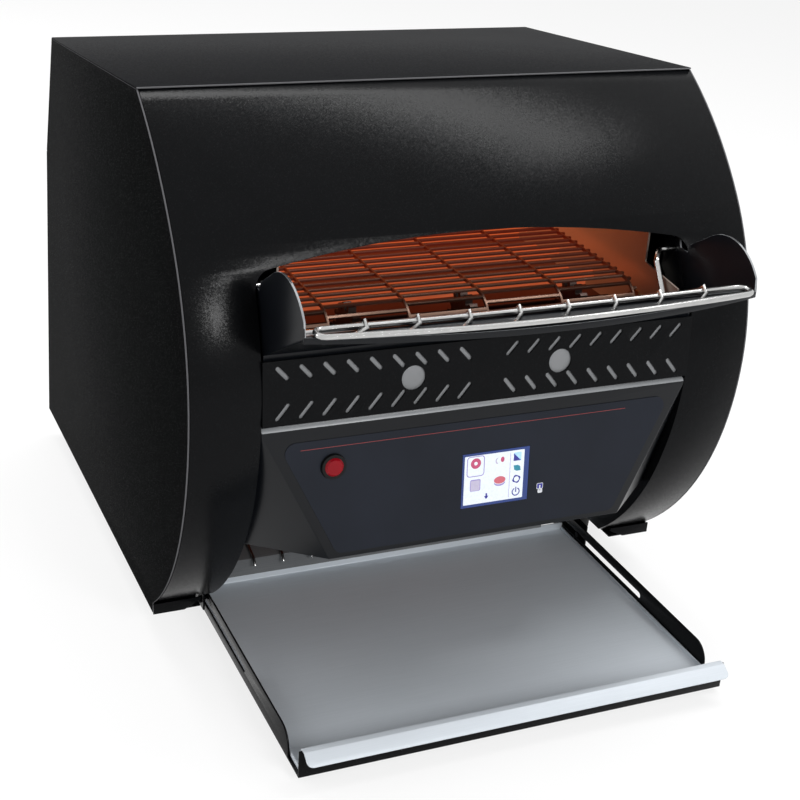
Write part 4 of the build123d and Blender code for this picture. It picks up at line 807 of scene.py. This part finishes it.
screen = {
    "x": 11.4, "drop": 56.5, "shift": (-1.2, 0.2), "width": 49.5, "height": 39.0, "corner": 0.6,
    "iconLift": 0.05,
    "icons": [
        # middle as shares of the picture from its left and top edge, then plates of:
        # outline, shift, ink, lift, thickness
        ("chosen cell", (0.185, 0.22), [
            (roundedRectangle(14.6, 16.4, 2.6), (0, 0), "violet", 0.0, 0.04),
            (roundedRectangle(13.2, 15.0, 2.0), (0, 0), "white", 0.02, 0.04),
        ]),
        ("ring", (0.185, 0.16), [
            (disc(4.2), (0, 0), "rose", 0.06, 0.03),
            (disc(1.4), (0, 0), "white", 0.09, 0.03),
        ]),
        ("two halves", (0.60, 0.16), [
            (disc(2.4, 0.7), (-2.6, -0.3), "stone", 0.0, 0.03),
            (disc(2.2, 0.7), (-1.7, -0.1), "white", 0.03, 0.03),
            (disc(2.2, 0.7), (1.6, 0.4), "rose", 0.0, 0.03),
        ]),
        ("slice", (0.19, 0.61), [
            (roundedRectangle(8.6, 9.4, 1.2), (0, 0), "violet", 0.0, 0.03),
            (roundedRectangle(7.4, 8.2, 0.8), (0, -0.2), "stone", 0.03, 0.03),
        ]),
        ("bun", (0.60, 0.57), [
            (disc(2.6, 1.75), (0, -2.2), "violet", 0.0, 0.03),
            (disc(2.6, 1.75), (0, -0.9), "white", 0.03, 0.03),
            (disc(3.0, 1.6), (0, 0), "brick", 0.06, 0.03),
        ]),
        ("down arrow", (0.385, 0.87), [
            ([(0.7, 2.4), (0.7, 0.2), (1.9, 0.2), (0, -2.4), (-1.9, 0.2), (-0.7, 0.2), (-0.7, 2.4)],
             (0, 0), "navy", 0.0, 0.03),
        ]),
        ("divider", (0.765, 0.5), [(roundedRectangle(0.35, 36.0, 0.15), (0, 0), "violet", 0.0, 0.03)]),
        ("contrast", (0.885, 0.13), [
            (roundedRectangle(6.4, 6.8, 0.8), (0, 0), "sky", 0.0, 0.03),
            ([(-3.2, -3.4), (3.0, -3.4), (-3.2, 2.8)], (0, 0), "navy", 0.03, 0.03),
        ]),
        ("leaf", (0.885, 0.37), [
            ([(-2.4, -1.2), (0.0, -2.4), (3.2, -2.2), (2.6, 1.2), (0.6, 2.4), (-3.0, 2.4)],
             (0, 0), "teal", 0.0, 0.03),
        ]),
        ("gear", (0.885, 0.60), [
            (cog(3.5, 3.0), (0, 0), "navy", 0.0, 0.03),
            (disc(2.1), (0, 0), "white", 0.03, 0.03),
        ]),
        ("power", (0.885, 0.86), [
            (arcBand(3.4, 2.5, 115, 425), (0, -0.2), "navy", 0.0, 0.03),
            (roundedRectangle(0.9, 4.2, 0.3), (0, 1.6), "navy", 0.0, 0.03),
        ]),
    ],
}


def finishPrint(name, plates):
    # plates joined, laid on the panel's plane and put with the chassis
    obj = joined(name, plates)
    obj.matrix_world = panelMatrix
    settle(obj)
    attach(obj, "chassis")


def addScreen(values):
    # a lit picture with plain symbols
    middleX = values["x"] + values["shift"][0]
    middleY = values["shift"][1] - values["drop"]
    width, height = values["width"], values["height"]
    level = panel["overlay"] - inkSink
    picture = moved(roundedRectangle(width, height, values["corner"]), middleX, middleY)
    plates = [inkPlate(picture, "white", level)]
    for label, (across, down), layers in values["icons"]:
        x = middleX + (across - 0.5) * width
        y = middleY + (0.5 - down) * height
        for outline, (shiftX, shiftY), ink, lift, thickness in layers:
            placed = moved(outline, x + shiftX, y + shiftY)
            plates.append(inkPlate(placed, ink, level + values["iconLift"] + lift, thickness))
    finishPrint("screenPicture", plates)


addScreen(screen)

prints = {
    "lineStart": -143.0, "lineEnd": 120.0, "lineY": -14.6, "lineWidth": 0.45,
    "markPlace": (49.8, -70.5),
    "mark": [
        # outline, shift, ink, lift, thickness
        (roundedRectangle(5.4, 4.8, 0.8), (0, 1.6), "paleInk", 0.0, 0.04),
        (roundedRectangle(4.6, 4.0, 0.5), (0, 1.6), "navy", 0.03, 0.03),
        (roundedRectangle(1.1, 4.4, 0.5), (0, 0.2), "paleInk", 0.05, 0.03),
        (roundedRectangle(4.0, 3.4, 1.0), (0.3, -2.4), "paleInk", 0.05, 0.03),
    ],
}


def addPrints(values):
    # the thin red line and a small touch mark on the overlay
    level = panel["overlay"] - inkSink
    start, end = values["lineStart"], values["lineEnd"]
    high, low = values["lineY"] + values["lineWidth"] / 2, values["lineY"] - values["lineWidth"] / 2
    plates = [inkPlate([(end, high), (start, high), (start, low), (end, low)], "redLine", level)]
    x, y = values["markPlace"]
    for outline, (shiftX, shiftY), ink, lift, thickness in values["mark"]:
        plates.append(inkPlate(moved(outline, x + shiftX, y + shiftY), ink, level + lift, thickness))
    finishPrint("overlayMarks", plates)


addPrints(prints)
print("stage: screen and prints")
